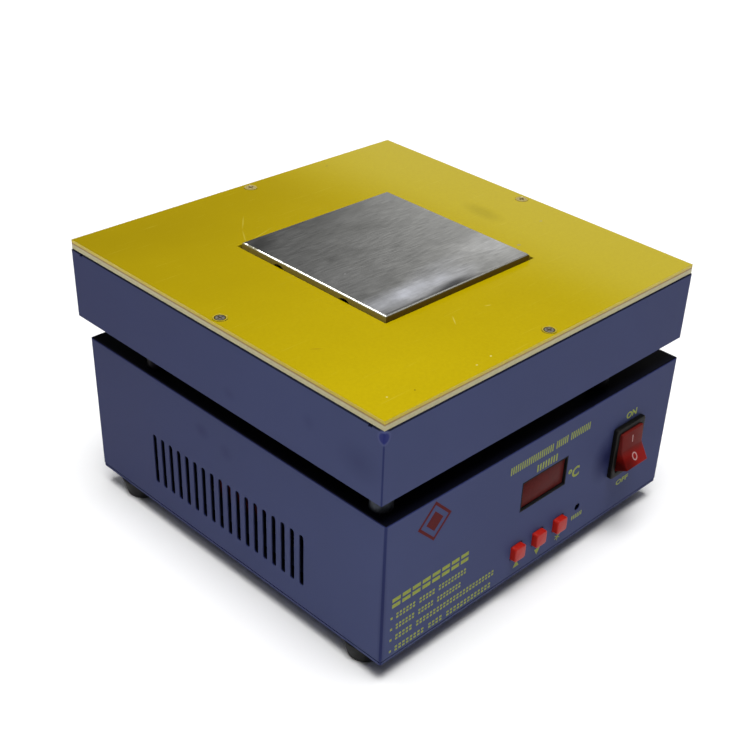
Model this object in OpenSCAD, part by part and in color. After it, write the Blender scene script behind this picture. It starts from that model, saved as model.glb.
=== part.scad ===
// Square bench hot plate for soldering work: a sheet-metal control case, an upper
// heater case on four standoffs, and a printed-circuit style top board round the plate.
// Millimetres, +Z up. The front panel faces -Y and the origin is on the bench,
// under the middle of the whole object.

/* [Top boards] */
// Width and depth of both boards
board_w = 200; // [190:1:220]
// Thickness of the yellow top board
board_t = 2.0; // [1.6:0.1:3]
// Thickness of the cream backing board
backing_t = 2.3; // [1.6:0.1:4]
// Distance of the board screws from the board's edge
board_screw_inset = 4.3; // [4:0.1:5.5]

/* [Heater plate] */
// Width and depth of the aluminium plate
plate_w = 92; // [88:1:93]
// Thickness of the plate
plate_t = 13; // [12:0.5:16]
// How far the plate stands above the top board
plate_proud = 3.1; // [2.5:0.1:4]
// Chamfer round the plate's top
plate_chamfer = 0.7; // [0.5:0.1:1.5]
// Offset of the plate towards the left and the front
plate_shift = 1.6; // [0:0.1:1.6]
// Gap between the plate and the nearer edges of the boards' hole
plate_gap = 0.15; // [0.1:0.05:1]
// Diameter of the two cartridge heaters
heater_d = 8; // [6:0.5:8]
// How much shorter the cartridge heaters are than the plate
heater_short = 6; // [5:1:20]
// Distance between the two cartridge heaters
heater_pitch = 42; // [36:1:48]
// Depth of the heater axes below the plate's top
heater_depth = 6.5; // [6:0.1:7]
// Diameter of the temperature probe
probe_d = 3; // [2:0.5:4]
// Length of the temperature probe
probe_len = 40; // [25:1:50]
// Distance of the plate's fixing screws from its edges
plate_screw_inset = 8; // [7:0.5:10]
// Diameter of the ceramic posts that carry the plate
post_d = 9; // [8:0.5:10]
// Thickness of the mica washers on the posts
mica_t = 1; // [0.5:0.1:2]

/* [Insulation] */
// How far the fibre pad stays back behind the plate's edges
pad_inset = 2; // [1:0.5:2.5]
// Air gap between the pad and the plate
pad_gap = 3; // [1:0.5:6]
// How far the fibre ring stays back behind the boards' hole
ring_back = 9.25; // [8.75:0.25:11]
// Air gap between the ring and the case's walls
ring_side = 3.95; // [2:0.05:7]
// Air gap between the ring and the case's top flange
ring_gap = 3; // [2:0.5:6]

/* [Upper case] */
// Thickness of the case sheet
sheet_t = 1.2; // [1:0.1:1.5]
// How much wider the upper case is than the boards
case_lip = 0.9; // [0:0.1:2]
// Height of the upper case
upper_h = 34.7; // [32:0.1:40]
// Radius of the upper case's upright edges
upper_corner_r = 0.7; // [0.4:0.1:2]
// How far the folds round off the long edges of both cases
fold_edge = 0.7; // [0.3:0.1:1]
// Width of the flange that carries the boards
upper_flange = 12; // [10:0.5:13]
// Width of the relief notches beside the flange bends
notch_w = 2.2; // [1.5:0.1:3]
// Height of the relief notches
notch_h = 1.7; // [1.5:0.1:2.5]
// Distance of the relief notches from the corners
notch_inset = 7.6; // [6:0.1:9]

/* [Lower case] */
// How much narrower the lower case is than the upper one
case_step_w = 2.5; // [1:0.1:5]
// How much shorter the lower case is from front to back than the upper one
case_step_d = 3.7; // [1:0.1:5]
// Height of the lower case without its bottom plate
lower_h = 72.1; // [70:0.1:76]
// Radius of the lower case's upright edges
lower_corner_r = 1.2; // [0.4:0.1:3]
// Width of the flange that carries the bottom plate
lower_flange = 15; // [14:0.5:16]
// How far the lower case stands in front of the upper one
front_lip = 0.55; // [0:0.05:1.5]
// Gap between the bottom plate's edge and the case's face
floor_inset = 0.2; // [0.1:0.1:1]
// Radius of the bottom plate's corners
floor_corner_r = 1; // [0.5:0.5:3]

/* [Standoffs] */
// Height of the gap between the two cases
standoff_h = 10; // [8:0.5:14]
// Diameter of the standoffs
standoff_d = 10; // [9:0.5:11]
// Distance of the left standoffs from the lower case's left face
standoff_left = 8.2; // [8:0.1:9]
// Distance of the front standoffs from the front face
standoff_front = 11; // [10:0.5:12]
// Distance between the standoffs from left to right
standoff_pitch_x = 140.5; // [136:0.5:144]
// Distance between the standoffs from front to back
standoff_pitch_y = 144.5; // [140:0.5:148]

/* [Feet] */
// Height of the rubber feet
foot_h = 10; // [9:0.5:12]
// Diameter of a foot at the bottom plate
foot_top_d = 22; // [16:0.5:22]
// Diameter of a foot at the bench
foot_base_d = 16.4; // [14:0.1:17]
// Distance of the feet from the side faces
foot_side = 10.4; // [10:0.1:10.5]
// Distance of the feet from the front and back faces
foot_end = 18.7; // [16:0.1:20]

/* [Vents] */
// Number of vent slots in each side
vent_count = 18; // [12:1:18]
// Distance from one slot to the next
vent_pitch = 6; // [5:0.1:6.5]
// Width of a slot
vent_w = 2.8; // [2:0.1:3]
// Height of a slot
vent_h = 27.3; // [20:0.1:30]
// Height of the slots' lower ends above the case's lower edge
vent_up = 12.4; // [10:0.1:16]
// How far the row of slots lies behind the case's middle
vent_back = 1.4; // [0:0.1:4]

/* [Display] */
// Width of the window's clear opening
window_w = 31; // [28:0.5:32]
// Height of the window's clear opening
window_h = 14.8; // [13:0.1:16]
// Distance of the window from the board's middle, to the right
window_x = 3.2; // [2:0.1:5]
// Height of the window's middle above the case's lower edge
window_up = 43.6; // [42:0.1:46]
// How deep the filter lies behind the panel's face
filter_depth = 2; // [1.5:0.1:2.5]
// Thickness of the red filter
filter_t = 1.5; // [1:0.1:2]
// Wall of the display frame in the panel's hole
frame_wall = 0.6; // [0.5:0.1:1]

/* [Buttons] */
// Width of a button cap
button_w = 7.3; // [6.5:0.1:8]
// Height of a button cap
button_h = 7.4; // [6.5:0.1:8]
// How far a button stands in front of the panel
button_proud = 3; // [2:0.1:4]
// Distance from one button to the next
button_pitch = 15.1; // [13:0.1:15.5]
// Distance of the middle button from the board's middle, to the right
button_x = 2.7; // [1.5:0.1:3.5]
// Height of the buttons' middle above the case's lower edge
button_up = 13.9; // [13:0.1:15]
// Travel of a button
button_travel = 0.5; // [0.3:0.05:0.8]
// Gap round a button in the panel's hole
button_gap = 0.25; // [0.15:0.05:0.4]

/* [Calibration trimmer] */
// Diameter of the calibration hole
cal_d = 3.8; // [3:0.1:4.5]
// Distance of the calibration hole from the board's middle, to the right
cal_x = 32.2; // [31:0.1:33.5]
// Height of the calibration hole above the case's lower edge
cal_up = 16.1; // [15:0.1:18]
// Width of the trimmer's body
trimmer_w = 9.5; // [9:0.1:10]
// Diameter of the trimmer's rotor
rotor_d = 6.5; // [5:0.1:7]

/* [Control board] */
// Distance from the panel's inner face to the control board
board_gap = 9.8; // [9.5:0.1:11]
// Thickness of the circuit boards
pcb_t = 1.6; // [1.4:0.1:2]
// Width of the control board
control_w = 80; // [76:1:84]
// Height of the control board
control_h = 58; // [54:1:60]
// Distance of the control board's middle from the board's middle, to the right
control_x = 8; // [7:0.5:9]
// Height of the control board's lower edge above the case's lower edge
control_up = 7; // [6:0.5:8]
// Inset of the control board's studs from its edges
stud_inset = 3.5; // [3.5:0.1:4]

/* [Power switch] */
// Width of the switch's rim
bezel_w = 22.5; // [22.5:0.1:24]
// Height of the switch's rim
bezel_h = 28.1; // [28:0.1:30]
// Thickness of the switch's rim
bezel_t = 2.5; // [2:0.1:3]
// Distance of the switch from the board's middle, to the right
switch_x = 65; // [63:0.1:67]
// Height of the switch's middle above the case's lower edge
switch_up = 36.4; // [34:0.1:38]
// Width of the rocker
rocker_w = 16.6; // [15:0.1:16.8]
// Half the length of the rocker's faces
rocker_half = 9; // [8.5:0.1:9.3]
// Distance from the rocker's pivot to the ends of its faces
rocker_rise = 5.3; // [5:0.1:5.5]
// Depth of the dip at the middle of the rocker
rocker_dip = 1.3; // [1:0.1:1.6]
// Depth of the rocker's pivot behind the panel's face
pivot_depth = 0.5; // [0.3:0.1:0.8]
// Tilt of the rocker from its middle position, in degrees
rocker_tilt = 17; // [12:1:18]
// Depth of the switch's body behind the panel's face
switch_depth = 20; // [19:0.5:24]

/* [Mains inlet] */
// Distance of the inlet from the board's middle, to the right
inlet_x = 52; // [48:1:56]
// Height of the inlet's middle above the case's lower edge
inlet_up = 34; // [30:0.5:36]
// Width of the inlet's flange
flange_w = 50; // [48:0.5:52]
// Height of the inlet's flange
flange_h = 37; // [37:0.5:40]
// Thickness of the inlet's flange
flange_t = 3; // [2.5:0.1:4]
// Depth of the inlet's body behind its flange
inlet_depth = 28; // [26:0.5:30]
// Distance between the inlet's screws
inlet_screw_pitch = 40; // [40:0.5:41]

/* [Transformer] */
// Width of the transformer's core from front to back
core_w = 46; // [42:1:50]
// Height of the transformer's core
core_h = 47.5; // [46:0.5:50]
// Thickness of the stacked core
core_t = 25; // [22:1:26]
// How far the winding bulges from each side of the core
coil_bulge = 9; // [7:0.5:9.5]
// Distance of the winding from the left wall
coil_gap = 15; // [12:0.5:18]
// How far the transformer's middle lies behind the board's middle
core_back = 12; // [8:1:16]

/* [Power board] */
// Width of the power board
power_w = 78; // [76:1:80]
// Depth of the power board
power_d = 88; // [86:1:90]
// Height of the power board's posts
power_post_h = 6; // [5:0.5:8]
// Gap between the power board and the right flange of the lower case's floor
power_side = 10.15; // [8:0.05:12]
// Distance of the power board's middle behind the board's middle
power_y = -16; // [-17:0.5:-15]

/* [Hidden] */

// Smoothness of drawn curves
round_fn = 64;
small_fn = 32;
// Length by which cuts run past the faces they open
over = 1;
// Clearance of a shank in a threaded bore, on the diameter
thread_gap = 0.1;
// Clearance of a shank in a plain hole, on the diameter
hole_gap = 0.4;
// Clearance between parts that drop into each other
seat_gap = 0.2;
// Running clearance of a pin in its bore, on the diameter
pin_gap = 0.1;
// Clearance between soft or fibre parts and what they touch
fibre_gap = 0.3;

// Screw sizes: shank, head width and head height of each thread
m3_d = 3;
m3_head_d = 5.6;
m3_head_h = 2;
m4_d = 4;
m4_head_d = 7.6;
m4_head_h = 2.7;
m4_nut_w = 7;
m4_nut_h = 3.2;
m3_nut_w = 5.5;
m3_nut_h = 2.4;
// How far screws reach past the nut or sheet they hold
screw_tail = 1.4;
// Depth, width and length of the cross in the screw heads
cross_depth = 1;
cross_w = 0.8;
cross_len = 3.2;

// Sizes that follow the boards and the plate
board_hole = plate_w + 2 * (plate_shift + plate_gap);
heater_len = plate_w - heater_short;
plate_screw_pitch = plate_w - 2 * plate_screw_inset;
pad_w = plate_w - 2 * pad_inset;
upper_w = board_w + case_lip;
lower_w = upper_w - case_step_w;
lower_d = upper_w - case_step_d;
ring_hole = board_hole + 2 * ring_back;
ring_w = upper_w - 2 * (sheet_t + ring_side);

// Levels from the bench upwards
floor_z = foot_h;
case_z = floor_z + sheet_t;
lower_top_z = case_z + lower_h;
upper_z = lower_top_z + standoff_h;
upper_in_z = upper_z + sheet_t;
upper_top_z = upper_z + upper_h;
board_z = upper_top_z + backing_t;
board_top_z = board_z + board_t;
plate_top_z = board_top_z + plate_proud;
plate_z = plate_top_z - plate_t;
heater_z = plate_top_z - heater_depth;

// Plan of the lower case about the boards' middle
lower_x = (upper_w - lower_w) / 2;
front_y = -upper_w / 2 - front_lip;
back_y = front_y + lower_d;
left_x = lower_x - lower_w / 2;
right_x = lower_x + lower_w / 2;
lower_y = (front_y + back_y) / 2;
power_x = right_x - lower_flange - power_side - power_w / 2;
panel_in_y = front_y + sheet_t;
back_in_y = back_y - sheet_t;

// Rocker: distance from its pivot to the end corners, and its reach when tilted
rocker_r = norm([rocker_half, rocker_rise]);
rocker_reach = rocker_rise * cos(rocker_tilt) + rocker_half * sin(rocker_tilt) - pivot_depth;
// Part of the rocker behind its pivot, and the clearance round its sweep
rocker_back = 5;
rocker_gap = 0.35;

// Fuse drawer: outer size, how far its face stands behind the flange
drawer_face_t = 1.6;
drawer_face_w = 24;
drawer_face_h = 9;
drawer_w = 22.4;
drawer_h = 7.4;
drawer_len = 17;

// Whole object's middle from front to back, about the boards' middle
front_reach = front_y - rocker_reach;
back_reach = back_y + flange_t + drawer_face_t;
stack_y = -(front_reach + back_reach) / 2;

// Places of screws and pillars
standoff_x0 = left_x + standoff_left;
standoff_y0 = front_y + standoff_front;
board_screw_r = board_w / 2 - board_screw_inset;
foot_dx = lower_w / 2 - foot_side;
foot_dy = lower_d / 2 - foot_end;
plate_right = plate_w / 2 - plate_shift;
grommet_gap = 4.8;
grommet_x = plate_right + grommet_gap;
grommet_hole_d = 9;
grommet_flange_d = 11.6;
grommet_flange_t = 1.2;
sleeve_d = 7;
sleeve_wall = 0.5;
// Sleeve ends above the upper case's floor and below the lower case's top
sleeve_up = 4;
sleeve_down = 8;

// Wires: diameters, bend radius and number of flats
heater_wire_d = 1.8;
probe_wire_d = 1.2;
mains_wire_d = 2.2;
wire_bend_r = 3;
// Bend radius of the leads beside the plate, and how far from it they turn down
lead_bend_r = 1.6;
lead_turn = 1.7;
wire_sides = 8;
bend_steps = 4;
// Half the distance between the heater wires in their bundle, and the probe's place beside it
bundle_half = 1.15;
bundle_side = 2.25;
// Half the distance between the two leads of a heater
lead_half = 1.6;

module placed() translate([0, stack_y, 0]) children();

// Flat shapes
module round_rect(w, d, r) {
  square([w - 2 * r, d], center = true);
  square([w, d - 2 * r], center = true);
  for (sx = [-1, 1], sy = [-1, 1])
    translate([sx * (w / 2 - r), sy * (d / 2 - r)]) circle(r, $fn = small_fn);
}
module slot(w, h) {
  square([w, h - w], center = true);
  for (s = [-1, 1]) translate([0, s * (h - w) / 2]) circle(d = w, $fn = small_fn);
}
module at_four(dx, dy) for (sx = [-1, 1], sy = [-1, 1]) translate([sx * dx, sy * dy, 0]) children();
module box(w, d, h) translate([-w / 2, -d / 2, 0]) cube([w, d, h]);
module disc(d, h) cylinder(d = d, h = h, $fn = small_fn);

// An upright shape turned to lie along +Y from y = 0
module lying() rotate([-90, 0, 0]) children();
module at_panel(x, up, y) translate([x, y, case_z + up]) children();

// Fasteners, with the head's underside at z = 0 and the shank below it
module cross(h) for (a = [0, 90]) rotate([0, 0, a]) translate([0, 0, h - cross_depth])
  box(cross_w, cross_len, cross_depth + over);
module pan_screw(d, len, head_d, head_h) {
  difference() {
    disc(head_d, head_h);
    cross(head_h);
  }
  translate([0, 0, -len]) disc(d - thread_gap, len + cross_depth / 2);
}
module sunk_screw(d, len, head_d, head_h) {
  difference() {
    translate([0, 0, -head_h]) cylinder(d1 = d - thread_gap, d2 = head_d, h = head_h, $fn = small_fn);
    cross(0);
  }
  translate([0, 0, -len]) disc(d - thread_gap, len - head_h + thread_gap);
}
module nut(w, h, d) difference() {
  cylinder(d = w / cos(30), h = h, $fn = 6);
  translate([0, 0, -over]) disc(d, h + 2 * over);
}

// Wires: a path with rounded corners, swept with mitred rings
function unit(v) = v / norm(v);
function bend(a, p, b, r) = let (
    la = min(r, norm(a - p) / 2), lb = min(r, norm(b - p) / 2),
    q0 = p + unit(a - p) * la, q2 = p + unit(b - p) * lb)
  [for (k = [0 : bend_steps]) let (t = k / bend_steps)
    (1 - t) * (1 - t) * q0 + 2 * t * (1 - t) * p + t * t * q2];
function route(p, r) = concat([p[0]],
  [for (i = [1 : len(p) - 2]) each bend(p[i - 1], p[i], p[i + 1], r)], [p[len(p) - 1]]);
function side_way(d) = unit(cross(d, abs(d[2]) > 0.9 * norm(d) ? [1, 0, 0] : [0, 0, 1]));
function first_ring(p, d, r) = let (u = side_way(d), w = cross(unit(d), u))
  [for (k = [0 : wire_sides - 1]) let (a = 360 * k / wire_sides) p + r * (cos(a) * u + sin(a) * w)];
function next_ring(ring, p, i) = let (
    way = unit(p[i] - p[i - 1]),
    out = i < len(p) - 1 ? unit(p[i + 1] - p[i]) : way,
    n = way + out)
  [for (v = ring) v + way * (((p[i] - v) * n) / (way * n))];
function rings(p, r) = [for (
    i = 0, ring = first_ring(p[0], p[1] - p[0], r);
    i < len(p);
    i = i + 1, ring = i < len(p) ? next_ring(ring, p, i) : ring) ring];
module wire(points, d, r = wire_bend_r) {
  path = route(points, r);
  all = rings(path, d / 2);
  n = wire_sides;
  last = len(path) - 1;
  polyhedron(
    points = [for (ring = all) each ring],
    faces = concat(
      [for (i = [0 : last - 1], k = [0 : n - 1]) each [
        [i * n + k, (i + 1) * n + k, i * n + (k + 1) % n],
        [i * n + (k + 1) % n, (i + 1) * n + k, (i + 1) * n + (k + 1) % n]]],
      [for (k = [1 : n - 2]) [0, k, k + 1]],
      [for (k = [1 : n - 2]) [last * n, last * n + k + 1, last * n + k]]));
}

// Top boards

// Countersink of the board screws
board_sink_d = 7;
board_sink_h = 1.9;
board_head_d = 6.2;

module at_board_screws() for (a = [0, 90, 180, 270]) rotate([0, 0, a])
  translate([board_screw_r, 0, 0]) children();
module board_plan() difference() {
  square(board_w, center = true);
  square(board_hole, center = true);
  at_board_screws() circle(d = m3_d + hole_gap, $fn = small_fn);
}
module top_board() color("#B8A208") placed() translate([0, 0, board_z]) difference() {
  linear_extrude(board_t) board_plan();
  at_board_screws() translate([0, 0, board_t - board_sink_h])
    cylinder(d1 = m3_d, d2 = board_sink_d, h = board_sink_h, $fn = small_fn);
}
module backing_board() color("#C9C49A") placed() translate([0, 0, upper_top_z])
  linear_extrude(backing_t) board_plan();
module board_screws() color("#B9B4A8") placed() at_board_screws() translate([0, 0, board_top_z])
  sunk_screw(m3_d, board_t + backing_t + sheet_t + screw_tail, board_head_d, (board_head_d - m3_d) / 2);

// Heater plate with its heaters, probe, posts and screws

// Clearance of heaters and probe in their bores, and the depth of the screws in the plate
bore_gap = 0.1;
plate_bite = 8;
bore_mouth_d = 9.5;
bore_mouth_depth = 1.2;
heater_tip = 5;
// How far the mica washers stand out past the posts
mica_lip = 0.5;

module at_plate() placed() translate([-plate_shift, -plate_shift, 0]) children();
module at_plate_screws() at_four(plate_screw_pitch / 2, plate_screw_pitch / 2) children();
module along_x() rotate([0, 90, 0]) children();
module heater_plate() color("#7B7C78") at_plate() difference() {
  translate([0, 0, plate_z]) box(plate_w, plate_w, plate_t);
  for (a = [0, 90, 180, 270]) rotate([0, 0, a]) translate([plate_w / 2, 0, plate_top_z]) rotate([0, 45, 0])
    cube([plate_chamfer * sqrt(2), plate_w + 2 * over, plate_chamfer * sqrt(2)], center = true);
  for (s = [-1, 1]) translate([0, s * heater_pitch / 2, heater_z]) {
    translate([-plate_w / 2 - over, 0, 0]) along_x() disc(heater_d + bore_gap, plate_w + 2 * over);
    translate([-plate_w / 2 - over, 0, 0]) along_x() disc(bore_mouth_d, bore_mouth_depth + over);
  }
  translate([plate_w / 2 - probe_len, 0, heater_z]) along_x() disc(probe_d + bore_gap, probe_len + over);
  at_plate_screws() translate([0, 0, plate_z - over]) disc(m4_d, plate_bite + screw_tail + over);
}
module cartridge_heaters() color("#A8A8A4") at_plate()
  for (s = [-1, 1]) translate([plate_w / 2 - heater_len, s * heater_pitch / 2, heater_z]) along_x()
    difference() {
      disc(heater_d, heater_len);
      translate([0, 0, heater_len - heater_tip]) for (t = [-1, 1])
        translate([0, t * lead_half, 0]) disc(heater_wire_d + bore_gap, heater_tip + over);
    }
module temperature_probe() color("#9A9C9C") at_plate()
  translate([plate_w / 2 - probe_len, 0, heater_z]) along_x() difference() {
    disc(probe_d, probe_len);
    translate([0, 0, probe_len - heater_tip]) disc(probe_wire_d + bore_gap, heater_tip + over);
  }
module plate_posts() color("#D8D2C4") at_plate() at_plate_screws() translate([0, 0, upper_in_z])
  difference() {
    disc(post_d, plate_z - mica_t - upper_in_z);
    translate([0, 0, -over]) disc(m4_d + hole_gap, upper_h);
  }
module mica_washers() color("#A89868") at_plate() at_plate_screws() translate([0, 0, plate_z - mica_t])
  difference() {
    disc(post_d + 2 * mica_lip, mica_t);
    translate([0, 0, -over]) disc(m4_d + hole_gap, mica_t + 2 * over);
  }
module plate_screws() color("#B4B6B8") at_plate() at_plate_screws() translate([0, 0, upper_z])
  mirror([0, 0, 1]) pan_screw(m4_d, plate_z - upper_z + plate_bite, m4_head_d, m4_head_h);

// Insulation
module insulation_pad() color("#E4E0D4") at_plate() translate([0, 0, upper_in_z]) difference() {
  box(pad_w, pad_w, plate_z - pad_gap - upper_in_z);
  at_plate_screws() translate([0, 0, -over]) disc(post_d + 2 * fibre_gap, upper_h);
}
// Pockets in the ring over the standoff screws
pocket_d = 16;
module insulation_ring() color("#E4E0D4") placed() translate([0, 0, upper_in_z]) difference() {
  box(ring_w, ring_w, upper_h - 2 * sheet_t - ring_gap);
  translate([0, 0, -over]) box(ring_hole, ring_hole, upper_h + 2 * over);
  at_standoffs() translate([0, 0, -over]) disc(pocket_d, upper_h);
}

// Upper case
module at_standoffs() for (i = [0, 1], j = [0, 1])
  translate([standoff_x0 + i * standoff_pitch_x, standoff_y0 + j * standoff_pitch_y, 0]) children();
// The notches are in the two side faces
module notches() for (sx = [-1, 1], sy = [-1, 1])
  translate([sx * upper_w / 2, sy * (upper_w / 2 - notch_inset), upper_h - notch_h])
    box(2 * sheet_t + 2 * over, notch_w, notch_h + over);
// Cuts that take the long edges off a case, w by d, at the height z
module folds(w, d, z) {
  cut = fold_edge * sqrt(2);
  for (s = [-1, 1]) translate([s * w / 2, 0, z]) rotate([0, 45, 0]) cube([cut, d + 2 * over, cut], center = true);
  for (s = [-1, 1]) translate([0, s * d / 2, z]) rotate([45, 0, 0]) cube([w + 2 * over, cut, cut], center = true);
}
// A folded case, w by d and h high, with its inside
module folded_case(w, d, h, r) difference() {
  linear_extrude(h) round_rect(w, d, r);
  translate([0, 0, sheet_t]) box(w - 2 * sheet_t, d - 2 * sheet_t, h - 2 * sheet_t);
  folds(w, d, 0);
  folds(w, d, h);
}
module upper_case() color("#474B6E") placed() translate([0, 0, upper_z]) difference() {
  folded_case(upper_w, upper_w, upper_h, upper_corner_r);
  translate([0, 0, sheet_t]) box(upper_w - 2 * upper_flange, upper_w - 2 * upper_flange, upper_h);
  notches();
  translate([0, 0, -over]) {
    at_standoffs() disc(m4_d + hole_gap, sheet_t + 2 * over);
    translate([-plate_shift, -plate_shift, 0]) at_plate_screws() disc(m4_d + hole_gap, sheet_t + 2 * over);
    translate([grommet_x, 0, 0]) disc(grommet_hole_d, sheet_t + 2 * over);
  }
  at_board_screws() translate([0, 0, sheet_t + over]) disc(m3_d, upper_h);
}

// Wires between the cases
module grommet() difference() {
  union() {
    translate([0, 0, -grommet_flange_t]) disc(grommet_flange_d, grommet_flange_t);
    disc(grommet_hole_d, sheet_t);
    translate([0, 0, sheet_t]) disc(grommet_flange_d, grommet_flange_t);
  }
  translate([0, 0, -grommet_flange_t - over])
    disc(sleeve_d + pin_gap, sheet_t + 2 * grommet_flange_t + 2 * over);
}
module wire_grommets() color("#26262A") placed() translate([grommet_x, 0, 0]) {
  translate([0, 0, upper_z]) grommet();
  translate([0, 0, lower_top_z - sheet_t]) grommet();
}
module wire_sleeve() color("#D8D4C4") placed()
  translate([grommet_x, 0, lower_top_z - sleeve_down]) difference() {
    disc(sleeve_d, upper_in_z - lower_top_z + sleeve_up + sleeve_down);
    translate([0, 0, -over])
      disc(sleeve_d - 2 * sleeve_wall, upper_in_z - lower_top_z + sleeve_up + sleeve_down + 2 * over);
  }

// Places of the terminal block's ways, along Y
way_pitch = 5.08;
way_count = 8;
function way_y(i) = (i - (way_count - 1) / 2) * way_pitch;
// Depth below the boards to which the leads go straight down beside the plate
lead_drop = 4;
// Height at which the heater wires gather above the sleeve, and part below it
gather_up = 8;
part_down = 16;
function heater_route(sx, sy) = let (
    lead_y = sy * heater_pitch / 2 - plate_shift + sy * sx * lead_half,
    x = grommet_x + sx * bundle_half,
    turn_z = upper_in_z + sleeve_up + gather_up,
    part_z = lower_top_z - sleeve_down - part_down,
    block_y = sy * (1 - sx / 2) * way_pitch)
  [[plate_right - heater_tip, lead_y, heater_z],
   [plate_right + lead_turn, lead_y, heater_z],
   [plate_right + lead_turn, lead_y, upper_top_z - lead_drop],
   [x, lead_y, turn_z],
   [x, sy * bundle_half, turn_z],
   [x, sy * bundle_half, part_z],
   [grommet_x, block_y, part_z - part_down],
   [grommet_x, block_y, block_z + block_h - wire_entry]];
module heater_leads() color("#E2DCCB") placed()
  for (sx = [-1, 1], sy = [-1, 1]) wire(heater_route(sx, sy), heater_wire_d, lead_bend_r);

// Plug of the probe lead on the back of the control board
plug_x = 34;
plug_up = 52;
plug_w = 8;
plug_h = 6;
plug_d = 7;
// How far the probe lead swings clear of the heater wires below the sleeve
probe_swing = 10;
// Straight stretch of the probe lead behind its plug
probe_run = 14;
module probe_lead() color("#C8B478") placed() wire([
    [plate_right - heater_tip, -plate_shift, heater_z],
    [plate_right + lead_turn, -plate_shift, heater_z],
    [plate_right + lead_turn, -plate_shift, upper_top_z - lead_drop],
    [grommet_x + bundle_side, 0, upper_in_z + sleeve_up + 2 * gather_up],
    [grommet_x + bundle_side, 0, lower_top_z - sleeve_down - gather_up],
    [grommet_x + bundle_side + probe_swing, -probe_swing, case_z + plug_up],
    [grommet_x + bundle_side + probe_swing, -power_d / 2, case_z + plug_up],
    [control_x + plug_x, control_back_y + plug_d + probe_run, case_z + plug_up],
    [control_x + plug_x, control_back_y + plug_d, case_z + plug_up]
  ], probe_wire_d, lead_bend_r);

// Standoffs
module standoffs() color("#C2C4C6") placed() at_standoffs() translate([0, 0, lower_top_z]) difference() {
  disc(standoff_d, standoff_h);
  translate([0, 0, -over]) disc(m4_d + hole_gap, standoff_h + 2 * over);
}
standoff_grip = 2 * sheet_t + standoff_h;
module standoff_screws() color("#B4B6B8") placed() at_standoffs() translate([0, 0, upper_in_z])
  pan_screw(m4_d, standoff_grip + m4_nut_h + screw_tail, m4_head_d, m4_head_h);
module standoff_nuts() color("#B4B6B8") placed() at_standoffs()
  translate([0, 0, lower_top_z - sheet_t - m4_nut_h]) nut(m4_nut_w, m4_nut_h, m4_d);

// Lower case
frame_w = window_w + 2 * frame_wall;
frame_h = window_h + 2 * frame_wall;
switch_wall = 1.5;
body_w = rocker_w + 2 * rocker_gap + 2 * switch_wall;
body_h = 2 * (rocker_r + rocker_gap) + 2 * switch_wall;
socket_w = 24.4;
socket_h = 16.8;
inlet_wall = 1.6;
inlet_w = socket_w + 2 * inlet_wall;
inlet_h = socket_h + drawer_h + 3 * inlet_wall + 2 * seat_gap;
earth_x = -20;
earth_up = 22;

module through_panel(len) translate([0, -over, 0]) rotate([-90, 0, 0]) linear_extrude(len + 2 * over)
  children();
module vents() translate([0, lower_y + vent_back, case_z + vent_up + vent_h / 2])
  for (i = [0 : vent_count - 1]) translate([0, (i - (vent_count - 1) / 2) * vent_pitch, 0])
    rotate([90, 0, 90]) linear_extrude(2 * upper_w, center = true) slot(vent_w, vent_h);
module at_feet() translate([lower_x, lower_y, 0]) at_four(foot_dx, foot_dy) children();
// Bottom screws sit at the middle of each side flange
module at_bottom_screws() translate([lower_x, lower_y, 0]) {
  for (s = [-1, 1]) translate([0, s * (lower_d - lower_flange) / 2, 0]) children();
  for (s = [-1, 1]) translate([s * (lower_w - lower_flange) / 2, 0, 0]) children();
}
module at_buttons() for (i = [-1, 0, 1]) at_panel(button_x + i * button_pitch, button_up, front_y) children();
module lower_shell() translate([lower_x, lower_y, case_z]) difference() {
  folded_case(lower_w, lower_d, lower_h, lower_corner_r);
  translate([0, 0, -over])
    box(lower_w - 2 * lower_flange, lower_d - 2 * lower_flange, sheet_t + 2 * over);
}
module front_holes() {
  at_panel(window_x, window_up, front_y) through_panel(sheet_t)
    square([frame_w + seat_gap, frame_h + seat_gap], center = true);
  at_buttons() through_panel(sheet_t)
    square([button_w + 2 * button_gap, button_h + 2 * button_gap], center = true);
  at_panel(cal_x, cal_up, front_y) through_panel(sheet_t) circle(d = cal_d, $fn = small_fn);
  at_panel(switch_x, switch_up, front_y) through_panel(sheet_t)
    square([body_w + seat_gap, body_h + seat_gap], center = true);
}
module back_holes() {
  at_panel(inlet_x, inlet_up, back_in_y) through_panel(sheet_t) {
    square([inlet_w + seat_gap, inlet_h + seat_gap], center = true);
    for (s = [-1, 1]) translate([s * inlet_screw_pitch / 2, 0]) circle(d = m3_d + hole_gap, $fn = small_fn);
  }
  at_panel(earth_x, earth_up, back_in_y) through_panel(sheet_t) circle(d = m4_d, $fn = small_fn);
}
module lower_case() color("#444867") placed() difference() {
  lower_shell();
  vents();
  front_holes();
  back_holes();
  translate([0, 0, lower_top_z - sheet_t - over]) {
    at_standoffs() disc(m4_d + hole_gap, sheet_t + 2 * over);
    translate([grommet_x, 0, 0]) disc(grommet_hole_d, sheet_t + 2 * over);
  }
  translate([0, 0, case_z - over]) {
    at_feet() disc(m4_d + hole_gap, sheet_t + 2 * over);
    at_bottom_screws() disc(m3_d, sheet_t + 2 * over);
  }
}

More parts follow.
